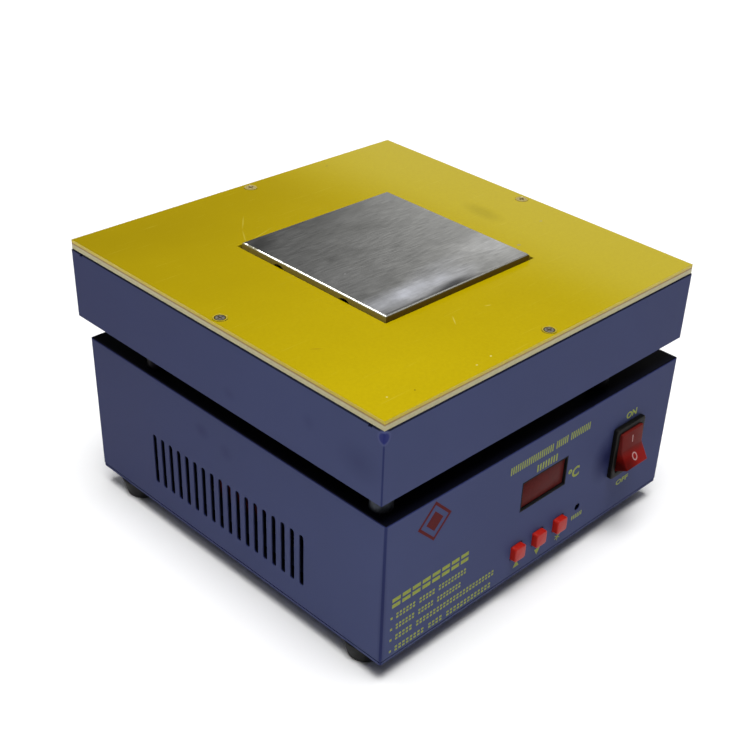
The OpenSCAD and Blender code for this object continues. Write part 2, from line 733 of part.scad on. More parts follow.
// Bottom plate and feet
module at_core_screws() translate([core_x, core_back, 0])
  for (s = [-1, 1]) translate([0, s * (bracket_w - foot_tab) / 2, 0]) children();
module at_power_posts() translate([power_x, power_y, 0])
  at_four(power_w / 2 - stud_inset, power_d / 2 - stud_inset) children();
module bottom_plate() color("#3C3F5C") placed() translate([0, 0, floor_z]) difference() {
  translate([lower_x, lower_y, 0]) linear_extrude(sheet_t)
    round_rect(lower_w - 2 * floor_inset, lower_d - 2 * floor_inset, floor_corner_r);
  translate([0, 0, -over]) {
    at_feet() disc(m4_d + hole_gap, sheet_t + 2 * over);
    at_bottom_screws() disc(m3_d + hole_gap, sheet_t + 2 * over);
    at_core_screws() disc(m4_d + hole_gap, sheet_t + 2 * over);
    at_power_posts() disc(m3_d + hole_gap, sheet_t + 2 * over);
  }
}
module bottom_screws() color("#B4B6B8") placed() at_bottom_screws() translate([0, 0, floor_z])
  mirror([0, 0, 1]) pan_screw(m3_d, 2 * sheet_t + 2 * screw_tail, m3_head_d, m3_head_h);
// Recess in a foot for its screw
foot_recess_d = 10;
foot_floor_t = 4;
module rubber_feet() color("#1E1E20") placed() at_feet() difference() {
  cylinder(d1 = foot_base_d, d2 = foot_top_d, h = foot_h, $fn = round_fn);
  translate([0, 0, -over]) disc(foot_recess_d, foot_h - foot_floor_t + over);
  translate([0, 0, -over]) disc(m4_d + hole_gap, foot_h + 2 * over);
}
module foot_screws() color("#B4B6B8") placed() at_feet() translate([0, 0, foot_h - foot_floor_t])
  mirror([0, 0, 1]) pan_screw(m4_d, foot_floor_t + 2 * sheet_t + m4_nut_h + screw_tail, m4_head_d, m4_head_h);
module foot_nuts() color("#B4B6B8") placed() at_feet() translate([0, 0, case_z + sheet_t])
  nut(m4_nut_w, m4_nut_h, m4_d);

// Control board behind the front panel
control_front_y = panel_in_y + board_gap;
control_back_y = control_front_y + pcb_t;
stud_d = 6;
stud_dx = control_w / 2 - stud_inset;
stud_dz = control_h / 2 - stud_inset;
control_mid = control_up + control_h / 2;
module at_studs(y) at_panel(control_x, control_mid, y)
  for (sx = [-1, 1], sz = [-1, 1]) translate([sx * stud_dx, 0, sz * stud_dz]) children();
module control_board() color("#2E6B3A") placed() difference() {
  at_panel(control_x, control_mid, control_front_y) rotate([-90, 0, 0]) linear_extrude(pcb_t)
    square([control_w, control_h], center = true);
  at_studs(control_front_y - over) lying() disc(m3_d + hole_gap, pcb_t + 2 * over);
}
module board_studs() color("#B08D3C") placed() at_studs(panel_in_y) lying() difference() {
  cylinder(d = stud_d, h = board_gap, $fn = 6);
  translate([0, 0, screw_tail]) disc(m3_d, board_gap);
}
module control_screws() color("#B4B6B8") placed() at_studs(control_back_y) lying()
  pan_screw(m3_d, pcb_t + board_gap / 2, m3_head_d, m3_head_h);

// Display: a hood that lines the window, the red filter and the digit module
hood_rim = 2.4;
pocket_gap = 0.1;
filter_lap = 1;
filter_w = window_w + filter_lap;
filter_h = window_h + filter_lap;
module display_frame() color("#1C1C1E") placed() {
  hood_w = frame_w + 2 * hood_rim;
  hood_h = frame_h + 2 * hood_rim;
  difference() {
    union() {
      at_panel(window_x, window_up, front_y) lying() linear_extrude(sheet_t + over)
        square([frame_w, frame_h], center = true);
      at_panel(window_x, window_up, panel_in_y) lying() linear_extrude(board_gap)
        square([hood_w, hood_h], center = true);
    }
    at_panel(window_x, window_up, front_y) through_panel(sheet_t + board_gap)
      square([window_w, window_h], center = true);
    at_panel(window_x, window_up, front_y + filter_depth) lying() linear_extrude(board_gap + over)
      square([filter_w + 2 * pocket_gap, filter_h + 2 * pocket_gap], center = true);
  }
}
module display_filter() color("#5A1A1C") placed() at_panel(window_x, window_up, front_y + filter_depth)
  lying() linear_extrude(filter_t) square([filter_w, filter_h], center = true);
module display_module() color("#2A2A2C") placed()
  at_panel(window_x, window_up, front_y + filter_depth + filter_t + pocket_gap) lying()
    linear_extrude(control_front_y - front_y - filter_depth - filter_t - pocket_gap)
      square([window_w, window_h], center = true);

// Buttons: caps through the panel, each on the plunger of a key switch
cap_flange = 1;
cap_flange_t = 1;
plunger_d = 3.4;
key_w = 6;
key_h = 3.5;
key_dip = 1.6;
plunger_sink = 1;
cap_gap = 0.1;
module cap_shape() {
  translate([0, -button_proud, 0]) lying() linear_extrude(button_proud + sheet_t + button_travel)
    square([button_w, button_h], center = true);
  translate([0, sheet_t + cap_gap, 0]) lying() linear_extrude(cap_flange_t)
    square([button_w + 2 * cap_flange, button_h + 2 * cap_flange], center = true);
}
module plunger_shape() translate([0, sheet_t + cap_gap + cap_flange_t, 0]) lying()
  disc(plunger_d, board_gap - cap_gap - cap_flange_t - key_h + plunger_sink);
module button_place(i) placed() at_panel(button_x + i * button_pitch, button_up, front_y) children();
module up_button() color("#A8281C") button_place(-1) cap_shape();
module down_button() color("#A8281C") button_place(0) cap_shape();
module set_button() color("#A8281C") button_place(1) cap_shape();
module up_plunger() color("#2A2A2C") button_place(-1) plunger_shape();
module down_plunger() color("#2A2A2C") button_place(0) plunger_shape();
module set_plunger() color("#2A2A2C") button_place(1) plunger_shape();
module key_switches() color("#3A3A3E") placed() at_buttons()
  translate([0, sheet_t + board_gap - key_h, 0]) lying() difference() {
    translate([-key_w / 2, -key_w / 2, 0]) cube([key_w, key_w, key_h]);
    translate([0, 0, -over]) disc(plunger_d + pin_gap, key_dip + over);
  }

// Calibration trimmer
trimmer_h = 5;
rotor_h = 3;
rotor_slot_w = 0.8;
rotor_slot_d = 1;
module trimmer_body() color("#2C4A8C") placed() at_panel(cal_x, cal_up, control_front_y - trimmer_h) lying()
  difference() {
    translate([-trimmer_w / 2, -trimmer_w / 2, 0]) cube([trimmer_w, trimmer_w, trimmer_h]);
    translate([0, 0, -over]) disc(rotor_d + pin_gap, rotor_h + over);
  }
module trimmer_rotor() color("#E0DCD0") placed() at_panel(cal_x, cal_up, control_front_y - trimmer_h)
  lying() difference() {
    disc(rotor_d, rotor_h);
    translate([0, 0, -over]) box(rotor_slot_w, rotor_d - 2 * rotor_slot_d, rotor_slot_d + over);
  }

// Parts on the back of the control board: chip, capacitor, two plugs
chip_w = 36;
chip_h = 9;
chip_t = 4;
chip_up = 30;
cap_d = 8;
cap_len = 12;
cap_x = -26;
cap_up = 40;
ribbon_x = 8;
ribbon_up = 8;
ribbon_w = 12;
ribbon_t = 1;
module on_control_back(x, up) at_panel(control_x + x, up, control_back_y) children();
module control_parts() color("#242428") placed() {
  on_control_back(0, chip_up) lying() linear_extrude(chip_t) square([chip_w, chip_h], center = true);
  on_control_back(cap_x, cap_up) lying() disc(cap_d, cap_len);
  on_control_back(plug_x, plug_up) lying() difference() {
    linear_extrude(plug_d) square([plug_w, plug_h], center = true);
    translate([0, 0, plug_d / 2]) disc(probe_wire_d + pin_gap, plug_d);
  }
  on_control_back(ribbon_x, ribbon_plug_up) lying() linear_extrude(plug_d)
    square([ribbon_w + 2 * ribbon_t, plug_h], center = true);
}
ribbon_plug_up = control_up + ribbon_up;

// Power switch: rim and body in one, with the rocker on two stubs
stub_len = 1.05;
stub_d = 3;
cavity_w = rocker_w + rocker_gap;
cavity_h = 2 * (rocker_r + rocker_gap);
cavity_depth = pivot_depth + rocker_r - rocker_gap;
blade_w = 6.3;
blade_t = 0.8;
blade_len = 16;
blade_sink = 5;
blade_dx = 5;
blade_dz = 6;
bezel_corner_r = 1.5;
module at_switch(y) placed() at_panel(switch_x, switch_up, y) children();
module blade_slots(gap) for (sx = [-1, 1], sz = [-1, 1]) translate([sx * blade_dx, sz * blade_dz, 0])
  square([blade_t + gap, blade_w + gap], center = true);
module switch_housing() color("#28282A") at_switch(front_y) difference() {
  union() {
    translate([0, -bezel_t, 0]) lying() linear_extrude(bezel_t) round_rect(bezel_w, bezel_h, bezel_corner_r);
    lying() linear_extrude(switch_depth) square([body_w, body_h], center = true);
  }
  translate([0, -bezel_t - over, 0]) lying() linear_extrude(cavity_depth + bezel_t + over)
    square([cavity_w, cavity_h], center = true);
  translate([-(cavity_w / 2 + stub_len + pin_gap), pivot_depth, 0]) along_x()
    disc(stub_d + pin_gap, cavity_w + 2 * (stub_len + pin_gap));
  translate([0, switch_depth - blade_sink, 0]) lying() linear_extrude(blade_sink + over)
    blade_slots(pin_gap);
}
// The two faces are drawn this share longer than they are, and the circle trims them
flare_share = 0.25;
module rocker_profile() {
  end_x = rocker_rise + rocker_dip * flare_share;
  end_y = rocker_half * (1 + flare_share);
  intersection() {
    circle(rocker_r, $fn = round_fn);
    polygon([[-rocker_back, -end_y], [end_x, -end_y], [rocker_rise - rocker_dip, 0],
      [end_x, end_y], [-rocker_back, end_y]]);
  }
}
// The profile's first axis points out of the panel, its second one up
module rocker() color("#6E1216") at_switch(front_y + pivot_depth) rotate([-rocker_tilt, 0, 0]) {
  mirror([0, 1, 0]) rotate([90, 0, 90]) linear_extrude(rocker_w, center = true) rocker_profile();
  along_x() translate([0, 0, -rocker_w / 2 - stub_len]) disc(stub_d, rocker_w + 2 * stub_len);
}
module switch_terminals() color("#C8A860") at_switch(front_y + switch_depth - blade_sink) lying()
  linear_extrude(blade_len) blade_slots(0);

// Transformer by the left wall
foot_tab = 8;
bracket_t = 1.2;
core_x = left_x + sheet_t + coil_gap + coil_bulge + core_t / 2;
core_z = case_z + bracket_t;
tongue_w = core_w / 3;
window_share = 0.6;
coil_h = core_h * window_share;
coil_w = 2 * core_w / 3;
coil_corner_r = 3;
bracket_w = core_w + 2 * foot_tab + 2 * bracket_t;
module at_core() placed() translate([core_x, core_back, 0]) children();
module transformer_core() color("#5A5C60") at_core() {
  difference() {
    union() {
      translate([0, 0, core_z]) box(core_t, core_w, core_h);
      translate([0, 0, case_z]) box(core_t, bracket_w, bracket_t);
      for (s = [-1, 1]) translate([0, s * (core_w + bracket_t) / 2, case_z]) box(core_t, bracket_t, core_h);
    }
    for (s = [-1, 1]) translate([0, s * (coil_w + tongue_w) / 4, core_z + (core_h - coil_h) / 2])
      box(core_t + 2 * over, (coil_w - tongue_w) / 2, coil_h);
    for (s = [-1, 1]) translate([0, s * (bracket_w - foot_tab) / 2, case_z - over])
      disc(m4_d + hole_gap, bracket_t + 2 * over);
  }
}
module transformer_coil() color("#A02018") at_core()
  translate([0, 0, core_z + (core_h - coil_h) / 2 + seat_gap / 2]) difference() {
    linear_extrude(coil_h - seat_gap) round_rect(core_t + 2 * coil_bulge, coil_w - seat_gap, coil_corner_r);
    translate([0, 0, -over]) box(core_t + seat_gap, tongue_w + seat_gap, coil_h + 2 * over);
  }
module transformer_screws() color("#B4B6B8") placed() at_core_screws() {
  translate([0, 0, floor_z]) mirror([0, 0, 1])
    pan_screw(m4_d, sheet_t + bracket_t + m4_nut_h + screw_tail, m4_head_d, m4_head_h);
  translate([0, 0, case_z + bracket_t]) nut(m4_nut_w, m4_nut_h, m4_d);
}

// Power board on the floor
power_z = case_z + power_post_h;
power_top = power_z + pcb_t;
block_z = power_top;
block_h = 11;
block_w = 10;
wire_entry = 4;
sink_w = 12;
sink_d = 30;
sink_h = 30;
// How far the heatsink stands to the left of the power board's middle
sink_left = 24;
sink_x = power_x - sink_left;
sink_y = power_y;
fin_t = 1.4;
fin_pitch = 3.6;
fin_h = 9;
triac_w = 10;
triac_t = 4.5;
triac_h = 15;
triac_up = 4;
leg_w = 0.8;
module power_board() color("#2E6B3A") placed() translate([power_x, power_y, power_z]) difference() {
  box(power_w, power_d, pcb_t);
  translate([0, 0, -over]) at_four(power_w / 2 - stud_inset, power_d / 2 - stud_inset)
    disc(m3_d + hole_gap, pcb_t + 2 * over);
}
// Each post is a spacer with its screw from below and its nut above
module power_board_posts() color("#B08D3C") placed() at_power_posts() {
  translate([0, 0, case_z]) difference() {
    cylinder(d = stud_d, h = power_post_h, $fn = 6);
    translate([0, 0, -over]) disc(m3_d + hole_gap, power_post_h + 2 * over);
  }
  translate([0, 0, floor_z]) mirror([0, 0, 1])
    pan_screw(m3_d, sheet_t + power_post_h + pcb_t + m3_nut_h + screw_tail, m3_head_d, m3_head_h);
  translate([0, 0, power_top]) nut(m3_nut_w, m3_nut_h, m3_d);
}
module heatsink() color("#8C8E90") placed() translate([sink_x, sink_y, power_top]) {
  box(sink_w - fin_h, sink_d, sink_h);
  for (i = [0 : floor((sink_d - fin_t) / fin_pitch)])
    translate([-(sink_w - fin_h) / 2 - fin_h, i * fin_pitch - sink_d / 2, 0]) cube([fin_h + fin_t, fin_t, sink_h]);
}
module terminal_block() color("#2C6A40") placed() translate([grommet_x, 0, block_z]) difference() {
  box(block_w, way_count * way_pitch, block_h);
  for (i = [0 : way_count - 1]) translate([0, way_y(i), block_h - wire_entry])
    disc(mains_wire_d + hole_gap, wire_entry + over);
}
// Relay, capacitor, triac on the heatsink, and the ribbon's plug
relay_w = 13;
relay_d = 18;
relay_h = 15;
relay_gap = 3.7;
relay_x = grommet_x - block_w / 2 - relay_gap - relay_w / 2 - power_x;
relay_y = -28;
big_cap_d = 13;
big_cap_h = 22;
big_cap_gap = 7.7;
big_cap_x = grommet_x - block_w / 2 - big_cap_gap - big_cap_d / 2 - power_x;
big_cap_y = 26;
module power_parts() color("#1F3C8C") placed() translate([power_x, power_y, power_top]) {
  translate([relay_x, relay_y, 0]) box(relay_w, relay_d, relay_h);
  translate([big_cap_x, big_cap_y, 0]) disc(big_cap_d, big_cap_h);
  translate([ribbon_dx, -power_d / 2 + plug_h, 0]) box(ribbon_w + 2 * ribbon_t, plug_h, plug_d);
  translate([sink_x - power_x + (sink_w - fin_h) / 2, sink_y - power_y, triac_up]) {
    translate([0, -triac_w / 2, 0]) cube([triac_t, triac_w, triac_h]);
    for (i = [-1, 0, 1]) translate([triac_t / 2, i * triac_w / 4, -triac_up])
      box(leg_w, leg_w, triac_up + leg_w);
  }
}
ribbon_dx = control_x + ribbon_x - power_x;

// Mains inlet with its fuse drawer in the rear wall
socket_depth = 17;
socket_up = (drawer_h + inlet_wall) / 2;
drawer_down = (socket_h + inlet_wall) / 2;
pin_w = 4;
pin_t = 2;
pin_len = 34;
pin_out = 14;
pin_dx = 7;
pin_dz = 2;
flange_corner_r = 3;
socket_corner = 4;
fuse_d = 5.2;
fuse_len = 20;
fuse_cap_len = 5;
module at_inlet(y) placed() at_panel(inlet_x, inlet_up, y) children();
// In the lying plane the second axis points down
module socket_plan(gap) polygon([
    [-socket_w / 2 - gap, socket_h / 2 + gap], [-socket_w / 2 - gap, -socket_h / 2 + socket_corner],
    [-socket_w / 2 + socket_corner, -socket_h / 2 - gap], [socket_w / 2 - socket_corner, -socket_h / 2 - gap],
    [socket_w / 2 + gap, -socket_h / 2 + socket_corner], [socket_w / 2 + gap, socket_h / 2 + gap]]);
module pin_plan(gap) for (i = [-1, 0, 1])
  translate([i * pin_dx, -socket_up + (i == 0 ? -pin_dz : pin_dz)]) square([pin_t + gap, pin_w + gap], center = true);
module inlet_housing() color("#232325") at_inlet(back_y) difference() {
  union() {
    lying() linear_extrude(flange_t) round_rect(flange_w, flange_h, flange_corner_r);
    translate([0, flange_t - inlet_depth, 0]) lying() linear_extrude(inlet_depth)
      square([inlet_w, inlet_h], center = true);
  }
  translate([0, flange_t - socket_depth, socket_up]) lying() linear_extrude(socket_depth + over)
    socket_plan(0);
  translate([0, flange_t - drawer_len - seat_gap, -drawer_down]) lying()
    linear_extrude(drawer_len + seat_gap + over) square([drawer_w + seat_gap, drawer_h + seat_gap], center = true);
  translate([0, flange_t - inlet_depth - over, 0]) lying() linear_extrude(inlet_depth) pin_plan(pin_gap);
  for (s = [-1, 1]) translate([s * inlet_screw_pitch / 2, -over, 0]) lying() disc(m3_d + hole_gap, flange_t + 2 * over);
  for (s = [-1, 1]) translate([s * inlet_screw_pitch / 2, flange_t - sink_depth, 0]) lying()
    cylinder(d1 = m3_d + hole_gap, d2 = sink_head_d + hole_gap, h = sink_depth, $fn = small_fn);
}
sink_head_d = 5.8;
sink_depth = 1.6;
module inlet_pins() color("#C9CBCC") at_inlet(back_y + flange_t - socket_depth + pin_out - pin_len) lying()
  linear_extrude(pin_len) pin_plan(0);
module fuse_drawer() color("#2E2E31") at_inlet(back_y + flange_t) translate([0, 0, -drawer_down]) {
  lying() linear_extrude(drawer_face_t) square([drawer_face_w, drawer_face_h], center = true);
  difference() {
    translate([0, -drawer_len, 0]) lying() linear_extrude(drawer_len) square([drawer_w, drawer_h], center = true);
    translate([-fuse_len / 2 - seat_gap / 2, -drawer_len / 2 - fuse_d / 2 - seat_gap / 2, -fuse_d / 2 - seat_gap / 2])
      cube([fuse_len + seat_gap, fuse_d + seat_gap, drawer_h]);
  }
}
module fuse() color("#C8CCD0") at_inlet(back_y + flange_t) translate([0, -drawer_len / 2, -drawer_down])
  along_x() translate([0, 0, -fuse_len / 2]) {
    disc(fuse_d - seat_gap, fuse_len);
    disc(fuse_d, fuse_cap_len);
    translate([0, 0, fuse_len - fuse_cap_len]) disc(fuse_d, fuse_cap_len);
  }
module inlet_screws() color("#B4B6B8") at_inlet(back_y + flange_t) for (s = [-1, 1])
  translate([s * inlet_screw_pitch / 2, 0, 0]) {
    lying() sunk_screw(m3_d, flange_t + sheet_t + m3_nut_h + screw_tail, sink_head_d, sink_depth);
    translate([0, -flange_t - sheet_t - m3_nut_h, 0]) lying() nut(m3_nut_w, m3_nut_h, m3_d);
  }

// Earth stud in the rear wall, with its nuts and ring terminal
stud_len = 14;
ring_t = 1;
ring_d = 9;
ring_tail = 12;
ring_tail_h = 5;
module earth_stud() color("#B8BABC") placed() at_panel(earth_x, earth_up, back_y) {
  translate([0, -stud_len, 0]) lying() disc(m4_d - thread_gap, stud_len);
  translate([0, -sheet_t - ring_t, 0]) lying() disc(ring_d, ring_t);
  translate([0, -sheet_t - ring_t, -ring_tail_h / 2]) cube([ring_tail, ring_t, ring_tail_h]);
  translate([0, -sheet_t - ring_t - m4_nut_h, 0]) lying() cylinder(d = m4_nut_w / cos(30), h = m4_nut_h, $fn = 6);
}

// Mains wires: inlet to switch, switch to terminal block, block to transformer, earth
tab_y = back_y + flange_t - socket_depth + pin_out - pin_len;
tab_z = case_z + inlet_up + socket_up - pin_dz;
blade_y = front_y + switch_depth - blade_sink + blade_len;
switch_z = case_z + switch_up;
block_end_z = block_z + block_h - wire_entry;
// Straight stretch where a wire leaves a terminal
lead_out = 12;
long_lead_out = 30;
// Levels and sideways places of the wires' crossings inside the case
run_drop = 6;
low_run = 44;
mid_run = 48;
high_run = 52;
top_run = 56;
coil_run = 34;
coil_out = 8;
coil_y = 7;
module mains_leads() color("#7A4A2A") placed() {
  coil_x = core_x + core_t / 2 + coil_bulge;
  tail_x = earth_x + ring_tail - ring_tail_h / 2;
  d = mains_wire_d;
  wire([
    [inlet_x + pin_dx, tab_y, tab_z], [inlet_x + pin_dx, tab_y - lead_out, tab_z],
    [switch_x + blade_dx, blade_y + lead_out, switch_z + blade_dz],
    [switch_x + blade_dx, blade_y, switch_z + blade_dz]], d);
  wire([
    [inlet_x - pin_dx, tab_y, tab_z], [inlet_x - pin_dx, tab_y - lead_out, tab_z],
    [grommet_x + pin_dx, tab_y - 2 * lead_out, tab_z - run_drop],
    [switch_x - blade_dx, blade_y + lead_out, switch_z + blade_dz],
    [switch_x - blade_dx, blade_y, switch_z + blade_dz]], d);
  wire([
    [switch_x - blade_dx, blade_y, switch_z - blade_dz],
    [switch_x - blade_dx, blade_y + lead_out, switch_z - blade_dz],
    [grommet_x, way_y(0), low_run], [grommet_x, way_y(0), block_end_z]], d);
  wire([
    [switch_x + blade_dx, blade_y, switch_z - blade_dz],
    [switch_x + blade_dx, blade_y + long_lead_out, switch_z - blade_dz],
    [grommet_x, way_y(1), mid_run], [grommet_x, way_y(1), block_end_z]], d);
  for (k = [0, 1]) wire([
    [grommet_x, way_y(way_count - 2 + k), block_end_z], [grommet_x, way_y(way_count - 2 + k), [high_run, top_run][k]],
    [coil_x + coil_out, core_back + (2 * k - 1) * coil_y, [high_run, top_run][k]],
    [coil_x + coil_out, core_back + (2 * k - 1) * coil_y, coil_run],
    [coil_x, core_back + (2 * k - 1) * coil_y, coil_run]], d);
  wire([
    [inlet_x, tab_y, tab_z + 2 * pin_dz], [inlet_x, tab_y - lead_out / 2, tab_z + 2 * pin_dz],
    [tail_x, tab_y - lead_out / 2, tab_z + 2 * pin_dz], [tail_x, tab_y - lead_out / 2, case_z + earth_up],
    [tail_x, back_in_y - ring_t, case_z + earth_up]], d);
}

// Ribbon cable between the two boards, a bent strip
function left_of(a, b) = let (d = unit(b - a)) [-d[1], d[0]];
function strip_side(p, s) = [for (i = [0 : len(p) - 1]) let (
  n0 = left_of(p[max(i - 1, 0)], p[max(i, 1)]),
  n1 = left_of(p[min(i, len(p) - 2)], p[min(i + 1, len(p) - 1)]))
  p[i] + s * (n0 + n1) / (1 + n0 * n1)];
module strip(p, t) {
  back = strip_side(p, -t / 2);
  polygon(concat(strip_side(p, t / 2), [for (i = [len(p) - 1 : -1 : 0]) back[i]]));
}
ribbon_rise = 14;
module control_cable() color("#8A8C90") placed() {
  y0 = control_back_y + plug_d;
  z0 = case_z + ribbon_plug_up;
  y1 = power_y - power_d / 2 + plug_h;
  z1 = power_top + plug_d;
  translate([control_x + ribbon_x, 0, 0]) rotate([90, 0, 90]) linear_extrude(ribbon_w, center = true)
    strip([[y0, z0], [y0 + plug_d, z0], [y1 - plug_d, z0 + ribbon_rise], [y1, z0 + ribbon_rise], [y1, z1]],
      ribbon_t);
}

top_board();
backing_board();
board_screws();
heater_plate();
cartridge_heaters();
temperature_probe();
plate_posts();
mica_washers();
plate_screws();
insulation_pad();
insulation_ring();
upper_case();
wire_grommets();
wire_sleeve();
heater_leads();
probe_lead();
standoffs();
standoff_screws();
standoff_nuts();
lower_case();
bottom_plate();
bottom_screws();
rubber_feet();
foot_screws();
foot_nuts();
control_board();
board_studs();
control_screws();
display_frame();
display_filter();
display_module();
key_switches();
up_button();
down_button();
set_button();
up_plunger();
down_plunger();
set_plunger();
trimmer_body();
trimmer_rotor();
control_parts();
switch_housing();
rocker();
switch_terminals();
transformer_core();
transformer_coil();
transformer_screws();
power_board();
power_board_posts();
heatsink();
terminal_block();
power_parts();
inlet_housing();
inlet_pins();
fuse_drawer();
fuse();
inlet_screws();
earth_stud();
mains_leads();
control_cable();
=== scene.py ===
import math

import bmesh
import bpy
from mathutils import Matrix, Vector


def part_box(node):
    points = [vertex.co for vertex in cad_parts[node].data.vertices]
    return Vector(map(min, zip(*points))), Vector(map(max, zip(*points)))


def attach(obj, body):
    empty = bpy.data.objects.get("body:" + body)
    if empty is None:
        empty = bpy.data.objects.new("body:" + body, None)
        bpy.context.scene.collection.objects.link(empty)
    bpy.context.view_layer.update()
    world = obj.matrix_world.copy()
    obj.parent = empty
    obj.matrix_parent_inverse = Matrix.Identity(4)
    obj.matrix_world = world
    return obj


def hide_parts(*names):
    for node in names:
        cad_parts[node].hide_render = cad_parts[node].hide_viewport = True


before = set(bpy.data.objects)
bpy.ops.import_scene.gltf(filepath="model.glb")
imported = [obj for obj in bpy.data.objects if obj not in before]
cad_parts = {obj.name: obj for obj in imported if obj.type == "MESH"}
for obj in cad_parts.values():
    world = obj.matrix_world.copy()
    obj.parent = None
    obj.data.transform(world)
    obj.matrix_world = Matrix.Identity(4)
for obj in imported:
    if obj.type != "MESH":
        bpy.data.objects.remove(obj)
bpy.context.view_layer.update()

# Camera
# It stands in front of the hot plate and to its left, and looks down on its top.
# The small shift is the photograph's framing.
bpy.ops.object.camera_add(
    location=(-0.3780, -0.3645, 0.3838),
    rotation=[math.radians(a) for a in (56.209, -3.347, -46.726)],
)
camera = bpy.context.object
camera.data.lens = 60.92
camera.data.shift_x = -0.0845
camera.data.shift_y = 0.0857
camera.data.clip_start = 0.01
bpy.context.scene.camera = camera

# Studio
# A pale matt floor in a dim pale room under one wide soft lamp. A tall panel of light
# behind on the right shows as haze on the board, and two small boxes find the bevels.
mm = 0.001


def srgb(code):
    """An sRGB hex colour as linear red, green, blue and alpha."""
    parts = [int(code[i : i + 2], 16) / 255 for i in (0, 2, 4)]
    return [c / 12.92 if c <= 0.04045 else ((c + 0.055) / 1.055) ** 2.4 for c in parts] + [1.0]


def fill(tree, node, inputs):
    """Sets or links a node's inputs."""
    for key, value in inputs.items():
        if isinstance(value, bpy.types.NodeSocket):
            tree.links.new(value, node.inputs[key])
        else:
            node.inputs[key].default_value = value
    return node


def add(tree, kind, inputs, **settings):
    """Adds a shader node with its settings and links."""
    node = tree.nodes.new("ShaderNode" + kind)
    for key, value in settings.items():
        setattr(node, key, value)
    return fill(tree, node, inputs)


def soft_box(name, place, target, width, height, power):
    """A rectangular area lamp that faces its target."""
    bpy.ops.object.light_add(type="AREA", location=place)
    lamp = bpy.context.object
    lamp.name = name
    lamp.data.shape = "RECTANGLE"
    lamp.data.size = width
    lamp.data.size_y = height
    lamp.data.energy = power
    way = Vector(target) - Vector(place)
    lamp.rotation_euler = way.to_track_quat("-Z", "Y").to_euler()


scene = bpy.context.scene
scene.view_settings.view_transform = "Standard"
room = bpy.data.worlds.new("pale_room")
room.use_nodes = True
scene.world = room
tree = room.node_tree
way = add(tree, "TexCoord", {}).outputs["Generated"]
up = add(tree, "SeparateXYZ", {0: way}).outputs["Z"]
wall = add(
    tree, "MapRange", {"Value": up, "From Min": 0.04, "From Max": 0.12, "To Min": 0.70, "To Max": 0.05}
).outputs[0]
ceiling = add(
    tree, "MapRange", {"Value": up, "From Min": 0.70, "From Max": 0.95, "To Min": 0.0, "To Max": 0.40}
).outputs[0]
level = add(tree, "Math", {0: wall, 1: ceiling}, operation="ADD").outputs[0]
fill(tree, tree.nodes["Background"], {"Color": srgb("FDFDFF"), "Strength": level})
soft_box("right_panel", (1.2, 0.9, 0.46), (0.0, 0.9, 0.46), 1.3, 0.7, 1.1)
soft_box("back_left_box", (-0.63, 0.93, 0.97), (0.0, 0.0, 0.13), 0.3, 0.3, 1.5)
soft_box("front_right_box", (0.86, -0.66, 0.97), (0.0, 0.0, 0.13), 0.3, 0.3, 0.16)
bpy.ops.object.light_add(type="SUN", rotation=(math.radians(6), math.radians(-4), 0))
ceiling_lamp = bpy.context.object
ceiling_lamp.name = "ceiling_lamp"
ceiling_lamp.data.angle = math.radians(35)
ceiling_lamp.data.energy = 3.3

bpy.ops.mesh.primitive_plane_add(size=12, location=(0, 0, 0))
floor = bpy.context.object
floor.name = "floor"
paper = bpy.data.materials.new("matt_paper_floor")
paper.use_nodes = True
tree = paper.node_tree
place = add(tree, "TexCoord", {}).outputs["Object"]
cloud = add(tree, "TexNoise", {"Vector": place, "Scale": 1 / (350 * mm)}).outputs[0]
tone = add(tree, "Mix", {0: cloud, 6: srgb("F4F4F4"), 7: srgb("F8F8F8")}, data_type="RGBA").outputs[2]
fill(tree, tree.nodes["Principled BSDF"], {"Base Color": tone, "Roughness": 0.9})
floor.data.materials.append(paper)


# Lower case and bottom plate
# The control case is folded from 1.2 mm steel sheet and closed by a flat plate below.
# Both are powder coated in one semi-gloss blue, thinner and darker over the bends.
def finish(name, values):
    """A new material whose shader has plain values, and its tree, shader and place on the object."""
    made = bpy.data.materials.new(name)
    made.use_nodes = True
    tree = made.node_tree
    shader = fill(tree, tree.nodes["Principled BSDF"], values)
    return made, tree, shader, add(tree, "TexCoord", {}).outputs["Object"]


def dress(made, *names):
    """Gives CAD nodes a material through their material slots."""
    for name in names:
        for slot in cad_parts[name].material_slots:
            slot.material = made


def spot(tree, place, centre, size, turn=0.0, core=0.3):
    """A soft oval mask round a place, sizes in millimetres: 1 in its core and 0 outside it."""
    local = add(
        tree,
        "Mapping",
        {
            "Vector": place,
            "Location": [c * mm for c in centre],
            "Rotation": (0, 0, turn),
            "Scale": [s * mm for s in size],
        },
        vector_type="TEXTURE",
    )
    far = add(tree, "VectorMath", {0: local.outputs[0]}, operation="LENGTH").outputs["Value"]
    return add(tree, "MapRange", {"Value": far, "From Min": 1.0, "From Max": core}).outputs[0]


